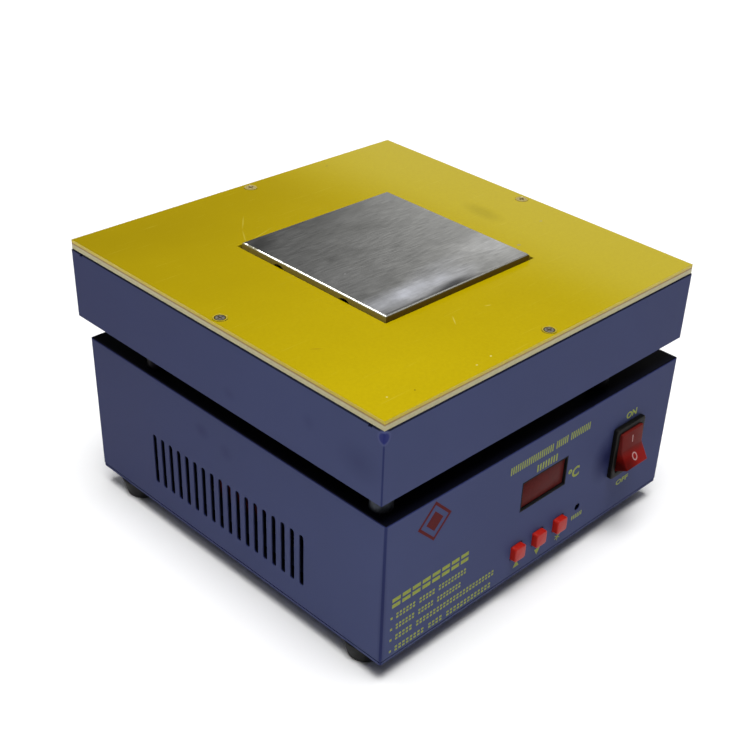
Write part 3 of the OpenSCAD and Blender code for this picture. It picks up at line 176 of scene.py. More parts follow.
# Polyester powder coat: a deep blue, painted darker toward the back and the left as painted shade, so
# paler round the front corner, with orange peel of 1.2 mm, drawn no finer than real.
shade_z = 127.1
gap_middle = 88.3
gap_half = 5.4
inner_wall = 0.5
blue_coat, tree, shader, place = finish("semi_gloss_powder_coat", {"Roughness": 0.5, "IOR": 1.13})
cloud = add(tree, "TexNoise", {"Vector": place, "Scale": 1 / (45 * mm), "Detail": 3.0}).outputs[0]
axes = add(tree, "SeparateXYZ", {0: place})
# Painted shade: the coat is painted darker toward the back and the left
far_x = add(
    tree, "MapRange", {"Value": axes.outputs["X"], "From Min": -0.1, "From Max": 0.1, "To Max": 0.5}
).outputs[0]
far_y = add(
    tree, "MapRange", {"Value": axes.outputs["Y"], "From Min": -0.1, "From Max": 0.1, "To Max": 0.95}
).outputs[0]
far = add(tree, "Math", {0: far_x, 1: far_y}, operation="ADD", use_clamp=True).outputs[0]
near_tone = add(
    tree, "Mix", {0: cloud, 6: srgb("41486C"), 7: srgb("464D73")}, data_type="RGBA"
).outputs[2]
painted_shade_tone = add(tree, "Mix", {0: cloud, 6: srgb("33375A"), 7: srgb("373C60")}, data_type="RGBA").outputs[2]
flat_tone = add(tree, "Mix", {0: far, 6: near_tone, 7: painted_shade_tone}, data_type="RGBA").outputs[2]
# Over every bend and corner it is painted darker as shade, and nearly black under the board as a painted
# shadow
geometry = add(tree, "NewGeometry", {})
facing = add(tree, "VectorMath", {0: geometry.outputs["Normal"]}, operation="ABSOLUTE").outputs[0]
facing = add(tree, "SeparateXYZ", {0: facing})
widest = add(
    tree, "Math", {0: facing.outputs["X"], 1: facing.outputs["Y"]}, operation="MAXIMUM"
).outputs[0]
widest = add(tree, "Math", {0: widest, 1: facing.outputs["Z"]}, operation="MAXIMUM").outputs[0]
bend = add(
    tree, "MapRange", {"Value": widest, "From Min": 0.995, "From Max": 0.93, "To Max": 0.85}
).outputs[0]
# Painted shadow: a nearly black line on the coat just under the board
under = add(
    tree,
    "MapRange",
    {"Value": axes.outputs["Z"], "From Min": (shade_z - 0.2) * mm, "From Max": (shade_z + 0.2) * mm},
).outputs[0]
bend_tone = add(
    tree, "Mix", {0: under, 6: srgb("282E5A"), 7: srgb("07080F")}, data_type="RGBA"
).outputs[2]
tone = add(tree, "Mix", {0: bend, 6: flat_tone, 7: bend_tone}, data_type="RGBA").outputs[2]
# The paint ran together over the weld at the upper case's front corner; there are faint dark patches on
# the left faces, a painted shadow beside the switch rim and painted shade down the lower case's front
# corner
run_place = (-100.45, -96.75, 124.9)
run_rim = spot(tree, place, run_place, (3.9, 3.9, 3.7), core=0.75)
tone = add(tree, "Mix", {0: run_rim, 6: tone, 7: srgb("50567E")}, data_type="RGBA").outputs[2]
run = spot(tree, place, run_place, (3.2, 3.2, 2.9), core=0.7)
tone = add(tree, "Mix", {0: run, 6: tone, 7: srgb("2A306C")}, data_type="RGBA").outputs[2]
for centre, size, share in (
    ((-100.45, -84, 108), (9, 14, 10), 0.25),
    ((-100.45, -6.4, 102.3), (4, 5, 4), 0.2),
    ((-100.45, -55.2, 112.3), (4, 4, 5), 0.2),
    ((-97.95, 17.0, 71.2), (4, 5.5, 4.5), 0.35),
    ((-97.95, 0.6, 67.9), (4, 5, 5), 0.25),
    # painted shadow beside the switch rim
    ((50.5, -97.3, 47), (12, 6, 15), 1.0),
    # painted shade down the lower case's front corner
    ((-97.95, -97.3, 30), (2.6, 2.6, 60), 0.5),
):
    dark_patch_or_shade = spot(tree, place, centre, size, core=0.1)
    dark_patch_or_shade = add(tree, "Math", {0: dark_patch_or_shade, 1: share}, operation="MULTIPLY").outputs[0]
    tone = add(tree, "Mix", {0: dark_patch_or_shade, 6: tone, 7: srgb("1E2248")}, data_type="RGBA").outputs[2]
# Painted shade: near black on the two faces beside the air gap and all over the inside of the lower case
gap_face = add(
    tree, "MapRange", {"Value": facing.outputs["Z"], "From Min": 0.3, "From Max": 0.65}
).outputs[0]
gap_level = add(
    tree, "Math", {0: axes.outputs["Z"], 1: gap_middle * mm, 2: gap_half * mm}, operation="COMPARE"
).outputs[0]
gap = add(tree, "Math", {0: gap_face, 1: gap_level}, operation="MULTIPLY").outputs[0]
low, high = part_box("lower_case")
half = (high - low) / 2 - Vector([inner_wall * mm] * 3)
inner = add(
    tree,
    "Mapping",
    {"Vector": place, "Location": (low + high) / 2, "Scale": half},
    vector_type="TEXTURE",
)
inner = add(tree, "VectorMath", {0: inner.outputs[0]}, operation="ABSOLUTE").outputs[0]
inner = add(tree, "SeparateXYZ", {0: inner})
reach = add(tree, "Math", {0: inner.outputs["X"], 1: inner.outputs["Y"]}, operation="MAXIMUM").outputs[0]
reach = add(tree, "Math", {0: reach, 1: inner.outputs["Z"]}, operation="MAXIMUM").outputs[0]
inside = add(tree, "Math", {0: reach, 1: 1.0}, operation="LESS_THAN").outputs[0]
# Painted shade in the gap and inside the lower case
black = add(tree, "Math", {0: gap, 1: inside}, operation="MAXIMUM").outputs[0]
tone = add(tree, "Mix", {0: black, 6: tone, 7: srgb("080915")}, data_type="RGBA").outputs[2]
peel = add(tree, "TexNoise", {"Vector": place, "Scale": 1 / (1.2 * mm)}).outputs[0]
bump = add(tree, "Bump", {"Height": peel, "Strength": 0.12, "Distance": 0.05 * mm}).outputs[0]
gloss = add(tree, "MapRange", {"Value": cloud, "To Min": 0.46, "To Max": 0.56}).outputs[0]
fill(tree, shader, {"Base Color": tone, "Roughness": gloss, "Normal": bump})
dress(blue_coat, "lower_case", "bottom_plate")

# Screws, nuts and earth stud
# Cross-headed machine screws and plain nuts of bright zinc-plated steel hold the plate,
# the feet, the cases and the boards inside.
# Zinc passivate: a bright grey metal with faint warm and dull clouds.
zinc, tree, shader, place = finish("bright_zinc_plated_steel", {"Metallic": 1.0})
cloud = add(tree, "TexNoise", {"Vector": place, "Scale": 1 / (2.5 * mm), "Detail": 4.0}).outputs[0]
tone = add(tree, "Mix", {0: cloud, 6: srgb("8E8C84"), 7: srgb("C2C1BA")}, data_type="RGBA").outputs[2]
dull = add(tree, "MapRange", {"Value": cloud, "To Min": 0.24, "To Max": 0.46}).outputs[0]
grain = add(tree, "TexNoise", {"Vector": place, "Scale": 1 / (0.3 * mm), "Detail": 1.0}).outputs[0]
bump = add(tree, "Bump", {"Height": grain, "Strength": 0.15, "Distance": 0.02 * mm}).outputs[0]
fill(tree, shader, {"Base Color": tone, "Roughness": dull, "Normal": bump})
dress(
    zinc,
    "bottom_screws",
    "foot_screws",
    "foot_nuts",
    "standoff_screws",
    "standoff_nuts",
    "control_screws",
    "plate_screws",
    "transformer_screws",
    "inlet_screws",
    "earth_stud",
)

# Rubber feet
# Four tapered feet of moulded black rubber, each with a recess for the screw that
# holds it and rounded where it meets the bench.
foot_height = 10
foot_top_r = 11
foot_base_r = 8.2
foot_recess_r = 5
foot_recess_h = 6
foot_hole_r = 2.2
foot_round = 0.7


def pick(kind, test):
    """Selects only the faces or edges whose middle and direction pass the test, in edit mode."""
    bpy.ops.mesh.select_mode(type=kind)
    bpy.ops.mesh.select_all(action="DESELECT")
    shape = bmesh.from_edit_mesh(bpy.context.object.data)
    for part in shape.faces if kind == "FACE" else shape.edges:
        if kind == "FACE":
            middle, way = part.calc_center_median(), part.normal
        else:
            middle = (part.verts[0].co + part.verts[1].co) / 2
            way = (part.verts[1].co - part.verts[0].co).normalized()
        part.select_set(test(middle / mm, way))
    shape.select_flush_mode()
    bmesh.update_edit_mesh(bpy.context.object.data)


def push(way):
    """Extrudes what is selected, in millimetres."""
    bpy.ops.mesh.extrude_region_move(TRANSFORM_OT_translate={"value": Vector(way) * mm})


def done():
    """Turns all faces outward and leaves edit mode."""
    bpy.ops.mesh.select_all(action="SELECT")
    bpy.ops.mesh.normals_make_consistent(inside=False)
    bpy.ops.object.mode_set(mode="OBJECT")


def rounded(width, segments=3, angle=40):
    """Rounds the active piece's sharp edges with an applied bevel."""
    piece = bpy.context.object
    modifier = piece.modifiers.new("rounded", "BEVEL")
    modifier.width = width * mm
    modifier.segments = segments
    modifier.limit_method = "ANGLE"
    modifier.angle_limit = math.radians(angle)
    bpy.ops.object.modifier_apply(modifier="rounded")


def settle(piece, made, body, slot, *nodes):
    """Puts a piece's place in its mesh, gives it its finish and body, and hides its CAD nodes; the slot
    is not used.
    """
    bpy.ops.object.select_all(action="DESELECT")
    bpy.context.view_layer.objects.active = piece
    piece.select_set(True)
    bpy.ops.object.transform_apply(location=True, rotation=True, scale=True)
    bpy.ops.object.shade_smooth_by_angle(angle=math.radians(35))
    piece.data.materials.clear()
    piece.data.materials.append(made)
    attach(piece, body)
    if nodes:
        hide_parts(*nodes)


# Natural rubber with carbon black: dull black, painted grey low down, partly as dust and partly as
# painted light where light reaches the foot, with a fine moulded skin
rubber, tree, shader, place = finish("moulded_black_rubber", {"IOR": 1.35})
dust = add(tree, "TexNoise", {"Vector": place, "Scale": 1 / (3.0 * mm), "Detail": 4.0}).outputs[0]
height = add(tree, "SeparateXYZ", {0: place}).outputs["Z"]
# Partly painted light: the lowest 3.5 mm of each foot is painted greyer
low = add(
    tree, "MapRange", {"Value": height, "From Min": 3.5 * mm, "From Max": 0.0, "To Max": 0.8}
).outputs[0]
share = add(tree, "Math", {0: low, 1: dust}, operation="MULTIPLY").outputs[0]
tone = add(tree, "Mix", {0: share, 6: srgb("050505"), 7: srgb("24241E")}, data_type="RGBA").outputs[2]
skin = add(tree, "TexNoise", {"Vector": place, "Scale": 1 / (0.5 * mm)}).outputs[0]
bump = add(tree, "Bump", {"Height": skin, "Strength": 0.3, "Distance": 0.05 * mm}).outputs[0]
dull = add(tree, "MapRange", {"Value": dust, "To Min": 0.55, "To Max": 0.8}).outputs[0]
fill(tree, shader, {"Base Color": tone, "Roughness": dull, "Normal": bump})

feet_low, feet_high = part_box("rubber_feet")
foot_x = [feet_low.x / mm + foot_top_r, feet_high.x / mm - foot_top_r]
foot_y = [feet_low.y / mm + foot_top_r, feet_high.y / mm - foot_top_r]
bpy.ops.object.select_all(action="DESELECT")
bpy.ops.mesh.primitive_cylinder_add(
    vertices=48, radius=foot_top_r * mm, depth=foot_height * mm, location=(0, 0, foot_height / 2 * mm)
)
foot = bpy.context.object
bpy.ops.object.transform_apply(location=True, rotation=True, scale=True)
bpy.ops.object.mode_set(mode="EDIT")
pick("FACE", lambda at, way: way.z < -0.9)
bpy.ops.transform.resize(value=[foot_base_r / foot_top_r] * 2 + [1], center_override=(0, 0, 0))
bpy.ops.mesh.inset(thickness=(foot_base_r - foot_recess_r) * mm)
push((0, 0, foot_recess_h))
bpy.ops.mesh.inset(thickness=(foot_recess_r - foot_hole_r) * mm)
bpy.ops.mesh.delete(type="ONLY_FACE")
pick("FACE", lambda at, way: way.z > 0.9 and at.z > foot_height - 0.1)
bpy.ops.mesh.inset(thickness=(foot_top_r - foot_hole_r) * mm)
bpy.ops.mesh.delete(type="ONLY_FACE")
pick("EDGE", lambda at, way: at.xy.length < foot_hole_r + 0.1)
bpy.ops.mesh.bridge_edge_loops()
done()
rounded(foot_round, angle=50)
for name, x, y in (
    ("rubber_foot_front_left", 0, 0),
    ("rubber_foot_front_right", 1, 0),
    ("rubber_foot_back_left", 0, 1),
    ("rubber_foot_back_right", 1, 1),
):
    copy = bpy.data.objects.new(name, foot.data.copy())
    scene.collection.objects.link(copy)
    copy.location = (foot_x[x] * mm, foot_y[y] * mm, 0)
    settle(copy, rubber, "housing", "black_rubber", "rubber_feet")
bpy.data.objects.remove(foot)

# Standoffs and the cable way between the cases
# Four turned and zinc-plated pillars carry the upper case and leave an air gap.
# A glass-fibre sleeve in two rubber grommets takes the wires across the gap.
# Turned steel: the tool's rings round the pillar, too fine to show and so drawn 1.1 mm
# apart. The pillars farther in stand in deeper shade.
wave_period = math.tau / 20
ring_pitch = 1.131
outer_pillar = -150
inner_pillar = -80
turned, tree, shader, place = finish("turned_zinc_plated_steel", {"Metallic": 1.0})
rings = add(
    tree,
    "TexWave",
    {"Vector": place, "Scale": wave_period / (ring_pitch * mm), "Distortion": 0.6, "Detail": 1.0},
    bands_direction="Z",
).outputs[1]
cloud = add(tree, "TexNoise", {"Vector": place, "Scale": 1 / (4 * mm), "Detail": 3.0}).outputs[0]
tone = add(tree, "Mix", {0: cloud, 6: srgb("1A1C22"), 7: srgb("50545C")}, data_type="RGBA").outputs[2]
inward = add(tree, "VectorMath", {0: place, 1: (1.0, 1.0, 0.0)}, operation="DOT_PRODUCT").outputs["Value"]
inward = add(
    tree, "MapRange", {"Value": inward, "From Min": outer_pillar * mm, "From Max": inner_pillar * mm}
).outputs[0]
tone = add(tree, "Mix", {0: inward, 6: tone, 7: srgb("0C0A0E")}, data_type="RGBA").outputs[2]
dull = add(tree, "MapRange", {"Value": cloud, "To Min": 0.3, "To Max": 0.5}).outputs[0]
bump = add(tree, "Bump", {"Height": rings, "Strength": 0.2, "Distance": 0.03 * mm}).outputs[0]
fill(tree, shader, {"Base Color": tone, "Roughness": dull, "Normal": bump})
dress(turned, "standoffs")
dress(rubber, "wire_grommets")

# Braided glass fibre: an off-white cloth of threads 1.5 mm apart, crossing at a slant
thread_pitch = 1.508
braid, tree, shader, place = finish("braided_glass_fibre", {"Roughness": 0.75, "IOR": 1.5})
threads = []
for slant in (0.6, -0.6):
    turned_place = add(tree, "Mapping", {"Vector": place, "Rotation": (slant, slant, 0)}).outputs[0]
    thread = add(
        tree,
        "TexWave",
        {"Vector": turned_place, "Scale": wave_period / (thread_pitch * mm)},
        bands_direction="Z",
    ).outputs[1]
    threads.append(thread)
weave = add(tree, "Math", {0: threads[0], 1: threads[1]}, operation="MAXIMUM").outputs[0]
tone = add(tree, "Mix", {0: weave, 6: srgb("A39C86"), 7: srgb("E2DCCB")}, data_type="RGBA").outputs[2]
bump = add(tree, "Bump", {"Height": weave, "Strength": 0.5, "Distance": 0.1 * mm}).outputs[0]
fill(tree, shader, {"Base Color": tone, "Normal": bump})
dress(braid, "wire_sleeve")

# Upper case
# A shallow tray folded from the same sheet, with relief notches beside the flange bends,
# and in the same powder coat as the lower case.
dress(blue_coat, "upper_case")

# Top boards
# A yellow epoxy and glass-cloth laminate lies on a cream one, both sawn square with a
# hole for the plate, and held by a countersunk screw at the middle of each side.
board_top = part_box("top_board")[1].z
skin_t = 1.2 * mm
board_t = 2.0 * mm
face_reach = 2

# Epoxy glass laminate: clear yellow resin over cloth, glossy, painted darker toward the far left corner
# and paler toward the front corner as painted light and shade, with the cloth showing as soft flecks of
# 1.5 mm.
yellow, tree, shader, place = finish("yellow_epoxy_glass_laminate", {"IOR": 1.4})
cloud = add(tree, "TexNoise", {"Vector": place, "Scale": 1 / (38 * mm), "Detail": 3.0}).outputs[0]
fleck = add(
    tree, "TexNoise", {"Vector": place, "Scale": 1 / (1.5 * mm), "Detail": 3.0, "Roughness": 0.6}
).outputs[0]
axes = add(tree, "SeparateXYZ", {0: place})
# Painted light and shade: darker toward the far left corner, paler toward the front corner
painted_light_y = add(
    tree,
    "MapRange",
    {"Value": axes.outputs["Y"], "From Min": 0.092, "From Max": -0.078, "To Min": -0.57, "To Max": 0.43},
).outputs[0]
left = add(
    tree, "MapRange", {"Value": axes.outputs["X"], "From Min": 0.085, "From Max": -0.09}
).outputs[0]
pale = add(tree, "Math", {0: painted_light_y, 1: left, 2: 0.57}, operation="MULTIPLY_ADD").outputs[0]
drift = add(tree, "Math", {0: cloud, 1: 0.3, 2: -0.15}, operation="MULTIPLY_ADD").outputs[0]
pale = add(tree, "Math", {0: pale, 1: drift}, operation="ADD", use_clamp=True).outputs[0]
deep = add(tree, "Mix", {0: pale, 6: srgb("9B8600"), 7: srgb("BBA504")}, data_type="RGBA").outputs[2]
right = add(
    tree, "MapRange", {"Value": axes.outputs["X"], "From Min": 0.015, "From Max": 0.065, "To Max": 0.9}
).outputs[0]
deep = add(tree, "Mix", {0: right, 6: deep, 7: srgb("B6A404")}, data_type="RGBA").outputs[2]
speck = add(
    tree, "MapRange", {"Value": fleck, "From Min": 0.35, "From Max": 0.75, "To Max": 0.2}
).outputs[0]
face_tone = add(tree, "Mix", {0: speck, 6: deep, 7: srgb("9A8400")}, data_type="RGBA").outputs[2]
# Fine scratches, pale chips and dark specks, where the photographed board has them
for middle, size, turn, share, mark in (
    ((-29.5, 69.5), (8.0, 0.45), 0.85, 0.3, "D2C455"),
    ((-39.0, 57.0), (8.5, 0.45), 1.0, 0.3, "D2C455"),
    ((-32.0, 54.0), (12.0, 0.35), 0.28, 0.3, "D2C455"),
    ((-24.2, -60.6), (4.2, 0.4), 0.93, 0.4, "E0D46A"),
    ((-3.4, -61.0), (2.0, 0.4), -0.4, 0.4, "E0D46A"),
    ((-34.8, -90.3), (0.7, 0.5), 0.4, 0.7, "E8E090"),
    ((-44.3, -91.3), (0.7, 0.5), 0.2, 0.6, "E8E090"),
    ((-87.6, -84.8), (0.6, 0.5), 0.9, 0.6, "E8E090"),
    ((-76.1, -88.2), (0.7, 0.5), 0.9, 0.7, "5A4A10"),
    ((-83.4, -40.8), (3.2, 0.5), -0.6, 0.5, "94701A"),
    ((53.1, -30.5), (1.3, 0.9), 0.0, 0.8, "8E8672"),
    ((82.4, -19.8), (1.2, 0.8), 0.0, 0.5, "9A9070"),
    ((48.5, 96.5), (2.0, 0.7), 0.4, 0.5, "8A7C20"),
    ((68, 5.5), (15.5, 6.5), 1.47, 0.35, "8E8010"),
):
    mask = spot(tree, place, (*middle, board_top / mm), (*size, face_reach), turn)
    mask = add(tree, "Math", {0: mask, 1: share}, operation="MULTIPLY").outputs[0]
    face_tone = add(tree, "Mix", {0: mask, 6: face_tone, 7: srgb(mark)}, data_type="RGBA").outputs[2]
drag = add(tree, "Mapping", {"Vector": place, "Rotation": (0, 0, 0.5), "Scale": (1, 28, 1)})
line = add(
    tree, "TexNoise", {"Vector": drag.outputs[0], "Scale": 1 / (30 * mm), "Detail": 5.0, "Roughness": 0.7}
).outputs[0]
scratch = add(
    tree, "MapRange", {"Value": line, "From Min": 0.62, "From Max": 0.72, "To Max": 0.3}
).outputs[0]
face_tone = add(tree, "Mix", {0: scratch, 6: face_tone, 7: srgb("CCBC40")}, data_type="RGBA").outputs[2]
# Its sawn edge shows brown cloth layers under the resin skin
geometry = add(tree, "NewGeometry", {})
up = add(tree, "SeparateXYZ", {0: geometry.outputs["Normal"]}).outputs["Z"]
side = add(tree, "MapRange", {"Value": up, "From Min": 0.9, "From Max": 0.4}).outputs[0]
level = axes.outputs["Z"]
below = add(
    tree,
    "MapRange",
    {"Value": level, "From Min": board_top - skin_t, "From Max": board_top - 1.25 * skin_t},
).outputs[0]
saw = add(tree, "TexNoise", {"Vector": place, "Scale": 1 / (1.8 * mm), "Detail": 3.0}).outputs[0]
cut = add(tree, "Mix", {0: saw, 6: srgb("84662C"), 7: srgb("A4843E")}, data_type="RGBA").outputs[2]
sawn = add(tree, "Mix", {0: below, 6: srgb("C4AE22"), 7: cut}, data_type="RGBA").outputs[2]
tone = add(tree, "Mix", {0: side, 6: face_tone, 7: sawn}, data_type="RGBA").outputs[2]
# One place is rubbed dull
gloss = add(tree, "MapRange", {"Value": cloud, "To Min": 0.09, "To Max": 0.15}).outputs[0]
rubbed = spot(tree, place, (69, 5.5, board_top / mm), (15.5, 7, face_reach), 1.47, 0.0)
rubbed = add(tree, "Math", {0: rubbed, 1: 0.12, 2: gloss}, operation="MULTIPLY_ADD").outputs[0]
bump = add(tree, "Bump", {"Height": fleck, "Strength": 0.05, "Distance": 0.05 * mm}).outputs[0]
fill(tree, shader, {"Base Color": tone, "Roughness": rubbed, "Normal": bump})
dress(yellow, "top_board")

# Cream glass and polyester sheet: dull, a little speckled, scorched brown along its upper edge
cream, tree, shader, place = finish("cream_polyester_glass_sheet", {"Roughness": 0.6, "IOR": 1.52})
saw = add(tree, "TexNoise", {"Vector": place, "Scale": 1 / (1.6 * mm), "Detail": 4.0}).outputs[0]
level = add(tree, "SeparateXYZ", {0: place}).outputs["Z"]
scorch = add(
    tree,
    "MapRange",
    {"Value": level, "From Min": board_top - board_t - 0.4 * mm, "From Max": board_top - board_t},
).outputs[0]
tone = add(tree, "Mix", {0: saw, 6: srgb("AAA27A"), 7: srgb("CAC298")}, data_type="RGBA").outputs[2]
tone = add(tree, "Mix", {0: scorch, 6: tone, 7: srgb("98804A")}, data_type="RGBA").outputs[2]
bump = add(tree, "Bump", {"Height": saw, "Strength": 0.3, "Distance": 0.08 * mm}).outputs[0]
fill(tree, shader, {"Base Color": tone, "Normal": bump})
dress(cream, "backing_board")

# Stainless screws: grey, rubbed, with a dark ring round the head and yellow resin dust at its rim;
# the two farther ones are painted pale and less metallic, a painted sheen like the haze on the board.
head_r = 3.1 * mm
haze_start = 40
haze_full = 60
steel, tree, shader, place = finish("rubbed_stainless_steel", {"Metallic": 1.0})
wear = add(tree, "TexNoise", {"Vector": place, "Scale": 1 / (0.9 * mm), "Detail": 4.0}).outputs[0]
tone = add(tree, "Mix", {0: wear, 6: srgb("7A7464"), 7: srgb("E0DACC")}, data_type="RGBA").outputs[2]
screws_low, screws_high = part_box("board_screws")
screws_mid = (screws_low + screws_high) / 2
across = add(tree, "VectorMath", {0: place, 1: screws_mid}, operation="SUBTRACT").outputs[0]
across = add(tree, "VectorMath", {0: across}, operation="ABSOLUTE").outputs[0]
across = add(tree, "SeparateXYZ", {0: across})
long = add(tree, "Math", {0: across.outputs["X"], 1: across.outputs["Y"]}, operation="MAXIMUM").outputs[0]
short = add(
    tree, "Math", {0: across.outputs["X"], 1: across.outputs["Y"]}, operation="MINIMUM"
).outputs[0]
long = add(
    tree, "Math", {0: long, 1: screws_high.x - screws_mid.x - head_r}, operation="SUBTRACT"
).outputs[0]
far = add(tree, "CombineXYZ", {"X": long, "Y": short})
far = add(tree, "VectorMath", {0: far.outputs[0]}, operation="LENGTH").outputs["Value"]
dark_ring = add(
    tree, "MapRange", {"Value": far, "From Min": head_r - 1.3 * mm, "From Max": head_r - 0.9 * mm}
).outputs[0]
dust_and_sheen = add(
    tree, "MapRange", {"Value": far, "From Min": head_r - 0.7 * mm, "From Max": head_r - 0.5 * mm}
).outputs[0]
dust_tone = add(tree, "Mix", {0: dark_ring, 6: tone, 7: srgb("4C4428")}, data_type="RGBA").outputs[2]
dust_tone = add(tree, "Mix", {0: dust_and_sheen, 6: dust_tone, 7: srgb("B29E20")}, data_type="RGBA").outputs[2]
metal = add(tree, "MapRange", {"Value": dust_and_sheen, "To Min": 1.0, "To Max": 0.0}).outputs[0]
corner = add(tree, "VectorMath", {0: place, 1: (1.0, 1.0, 0.0)}, operation="DOT_PRODUCT").outputs["Value"]
# Painted sheen: the two farther screws are painted pale and less metallic
painted_haze_sheen = add(
    tree,
    "MapRange",
    {"Value": corner, "From Min": haze_start * mm, "From Max": haze_full * mm, "To Max": 0.8},
).outputs[0]
dust_tone = add(tree, "Mix", {0: painted_haze_sheen, 6: dust_tone, 7: srgb("AE9C58")}, data_type="RGBA").outputs[2]
bare = add(tree, "Math", {0: 1.0, 1: painted_haze_sheen}, operation="SUBTRACT").outputs[0]
metal = add(tree, "Math", {0: metal, 1: bare}, operation="MULTIPLY").outputs[0]
dull = add(tree, "MapRange", {"Value": wear, "To Min": 0.4, "To Max": 0.6}).outputs[0]
bump = add(tree, "Bump", {"Height": wear, "Strength": 0.2, "Distance": 0.04 * mm}).outputs[0]
fill(tree, shader, {"Base Color": dust_tone, "Metallic": metal})
fill(tree, shader, {"Roughness": dull, "Normal": bump})
dress(steel, "board_screws")

# Heater plate
# A block of aluminium, sawn, ground flat by hand on top and chamfered all round,
# which stands a little above the boards.
plate_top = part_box("heater_plate")[1].z
plate_reach = 4
bevel_t = 0.41 * mm

# Ground aluminium: grey metal in soft clouds where the grinding pressed harder, with fine
# lines 0.6 mm apart; the sides are duller, and painted brown as a painted reflection of the yellow board,
# paler on the left side as painted light.
ground, tree, shader, place = finish("hand_ground_aluminium", {"Metallic": 1.0})
cloud = add(
    tree, "TexNoise", {"Vector": place, "Scale": 1 / (17 * mm), "Detail": 5.0, "Roughness": 0.6}
).outputs[0]
cloud = add(tree, "MapRange", {"Value": cloud, "From Min": 0.3, "From Max": 0.7}).outputs[0]
drag = add(tree, "Mapping", {"Vector": place, "Rotation": (0, 0, 0.75), "Scale": (1, 14, 1)})
line = add(
    tree, "TexNoise", {"Vector": drag.outputs[0], "Scale": 1 / (9 * mm), "Detail": 4.0, "Roughness": 0.6}
).outputs[0]
line = add(tree, "MapRange", {"Value": line, "From Min": 0.35, "From Max": 0.65}).outputs[0]
# Painted light: the top is painted darker toward the left and paler toward the right and front
slant = add(
    tree, "VectorMath", {0: place, 1: (1.0, -0.55, 0.0)}, operation="DOT_PRODUCT"
).outputs["Value"]
slant = add(tree, "MapRange", {"Value": slant, "From Min": -50 * mm, "From Max": 38 * mm}).outputs[0]
dark = add(tree, "Mix", {0: slant, 6: srgb("868684"), 7: srgb("CACAC6")}, data_type="RGBA").outputs[2]
pale = add(tree, "Mix", {0: slant, 6: srgb("A4A4A2"), 7: srgb("E8E8E4")}, data_type="RGBA").outputs[2]
share = add(tree, "Math", {0: line, 1: cloud}, operation="ADD").outputs[0]
share = add(tree, "Math", {0: share, 1: 0.5}, operation="MULTIPLY").outputs[0]
top_tone = add(tree, "Mix", {0: share, 6: dark, 7: pale}, data_type="RGBA").outputs[2]
hard = 0.0
# Painted highlights and painted shade: pale bands, also a little rougher, and dark patches where the
# ground top shows light and shade
for middle, size, turn, share, mark, duller in (
    ((-21, -35.3), (46, 9.5), -0.02, 0.9, "F4F6FF", 0.16),
    ((0, -26.5), (24, 7), 0.1, 0.3, "F4F6FF", 0.1),
    ((38, -26), (28, 18), 0.0, 0.5, "FFFFFF", 0.14),
    ((-38, -6), (24, 22), 0.0, 0.6, "C2C2C0", 0.0),
    ((-18, -43.8), (44, 2.6), 0.0, 1.0, "4E4E50", -0.1),
    ((-5, -41.6), (17, 3.6), 0.06, 1.0, "48484A", -0.1),
    ((-4, 45), (40, 9), 0.0, 0.4, "565654", 0.0),
    ((-43, 42), (15, 9), 0.6, 0.7, "3C3C3A", -0.1),
    ((-29.9, 8.5), (3.2, 2.2), 0.5, 0.5, "55554F", 0.0),
    ((-14, 33), (22, 9), 0.2, 0.3, "6E6E6A", 0.0),
    ((6, 26), (18, 9), -0.2, 0.35, "74746E", 0.0),
    ((2, 4), (22, 5), 0.5, 0.25, "D4D4D0", 0.0),
    ((43, 43), (9, 9), 0.0, 0.5, "D8DCE0", 0.0),
    ((-33.9, -4.8), (0.8, 0.5), 0.5, 0.9, "FFFFFF", 0.0),
):
    mask = spot(tree, place, (*middle, plate_top / mm), (*size, plate_reach), turn, 0.2)
    patchy = add(tree, "MapRange", {"Value": cloud, "To Min": 0.45 * share, "To Max": share}).outputs[0]
    mask = add(tree, "Math", {0: mask, 1: patchy}, operation="MULTIPLY").outputs[0]
    top_tone = add(tree, "Mix", {0: mask, 6: top_tone, 7: srgb(mark)}, data_type="RGBA").outputs[2]
    hard = add(tree, "Math", {0: mask, 1: duller, 2: hard}, operation="MULTIPLY_ADD").outputs[0]
geometry = add(tree, "NewGeometry", {})
up = add(tree, "SeparateXYZ", {0: geometry.outputs["Normal"]}).outputs["Z"]
bevel_face = add(tree, "MapRange", {"Value": up, "From Min": 0.95, "From Max": 0.85}).outputs[0]
level = add(tree, "SeparateXYZ", {0: place}).outputs["Z"]
edge_z = plate_top - bevel_t
low_edge = add(
    tree, "MapRange", {"Value": level, "From Min": edge_z + 0.05 * mm, "From Max": edge_z - 0.05 * mm}
).outputs[0]
chip = add(tree, "TexNoise", {"Vector": place, "Scale": 1 / (3 * mm)}).outputs[0]
worn = add(tree, "SeparateXYZ", {0: place}).outputs["Y"]
worn = add(
    tree,
    "MapRange",
    {"Value": worn, "From Min": 15 * mm, "From Max": 45 * mm, "To Min": 0.25, "To Max": 0.5},
).outputs[0]
chip = add(tree, "Math", {0: chip, 1: worn}, operation="SUBTRACT").outputs[0]
chip = add(tree, "MapRange", {"Value": chip, "From Min": -0.04, "From Max": 0.06}).outputs[0]
chip_tone = add(tree, "Mix", {0: chip, 6: srgb("6A6858"), 7: srgb("F0F0E8")}, data_type="RGBA").outputs[2]
top_tone = add(tree, "Mix", {0: bevel_face, 6: top_tone, 7: chip_tone}, data_type="RGBA").outputs[2]
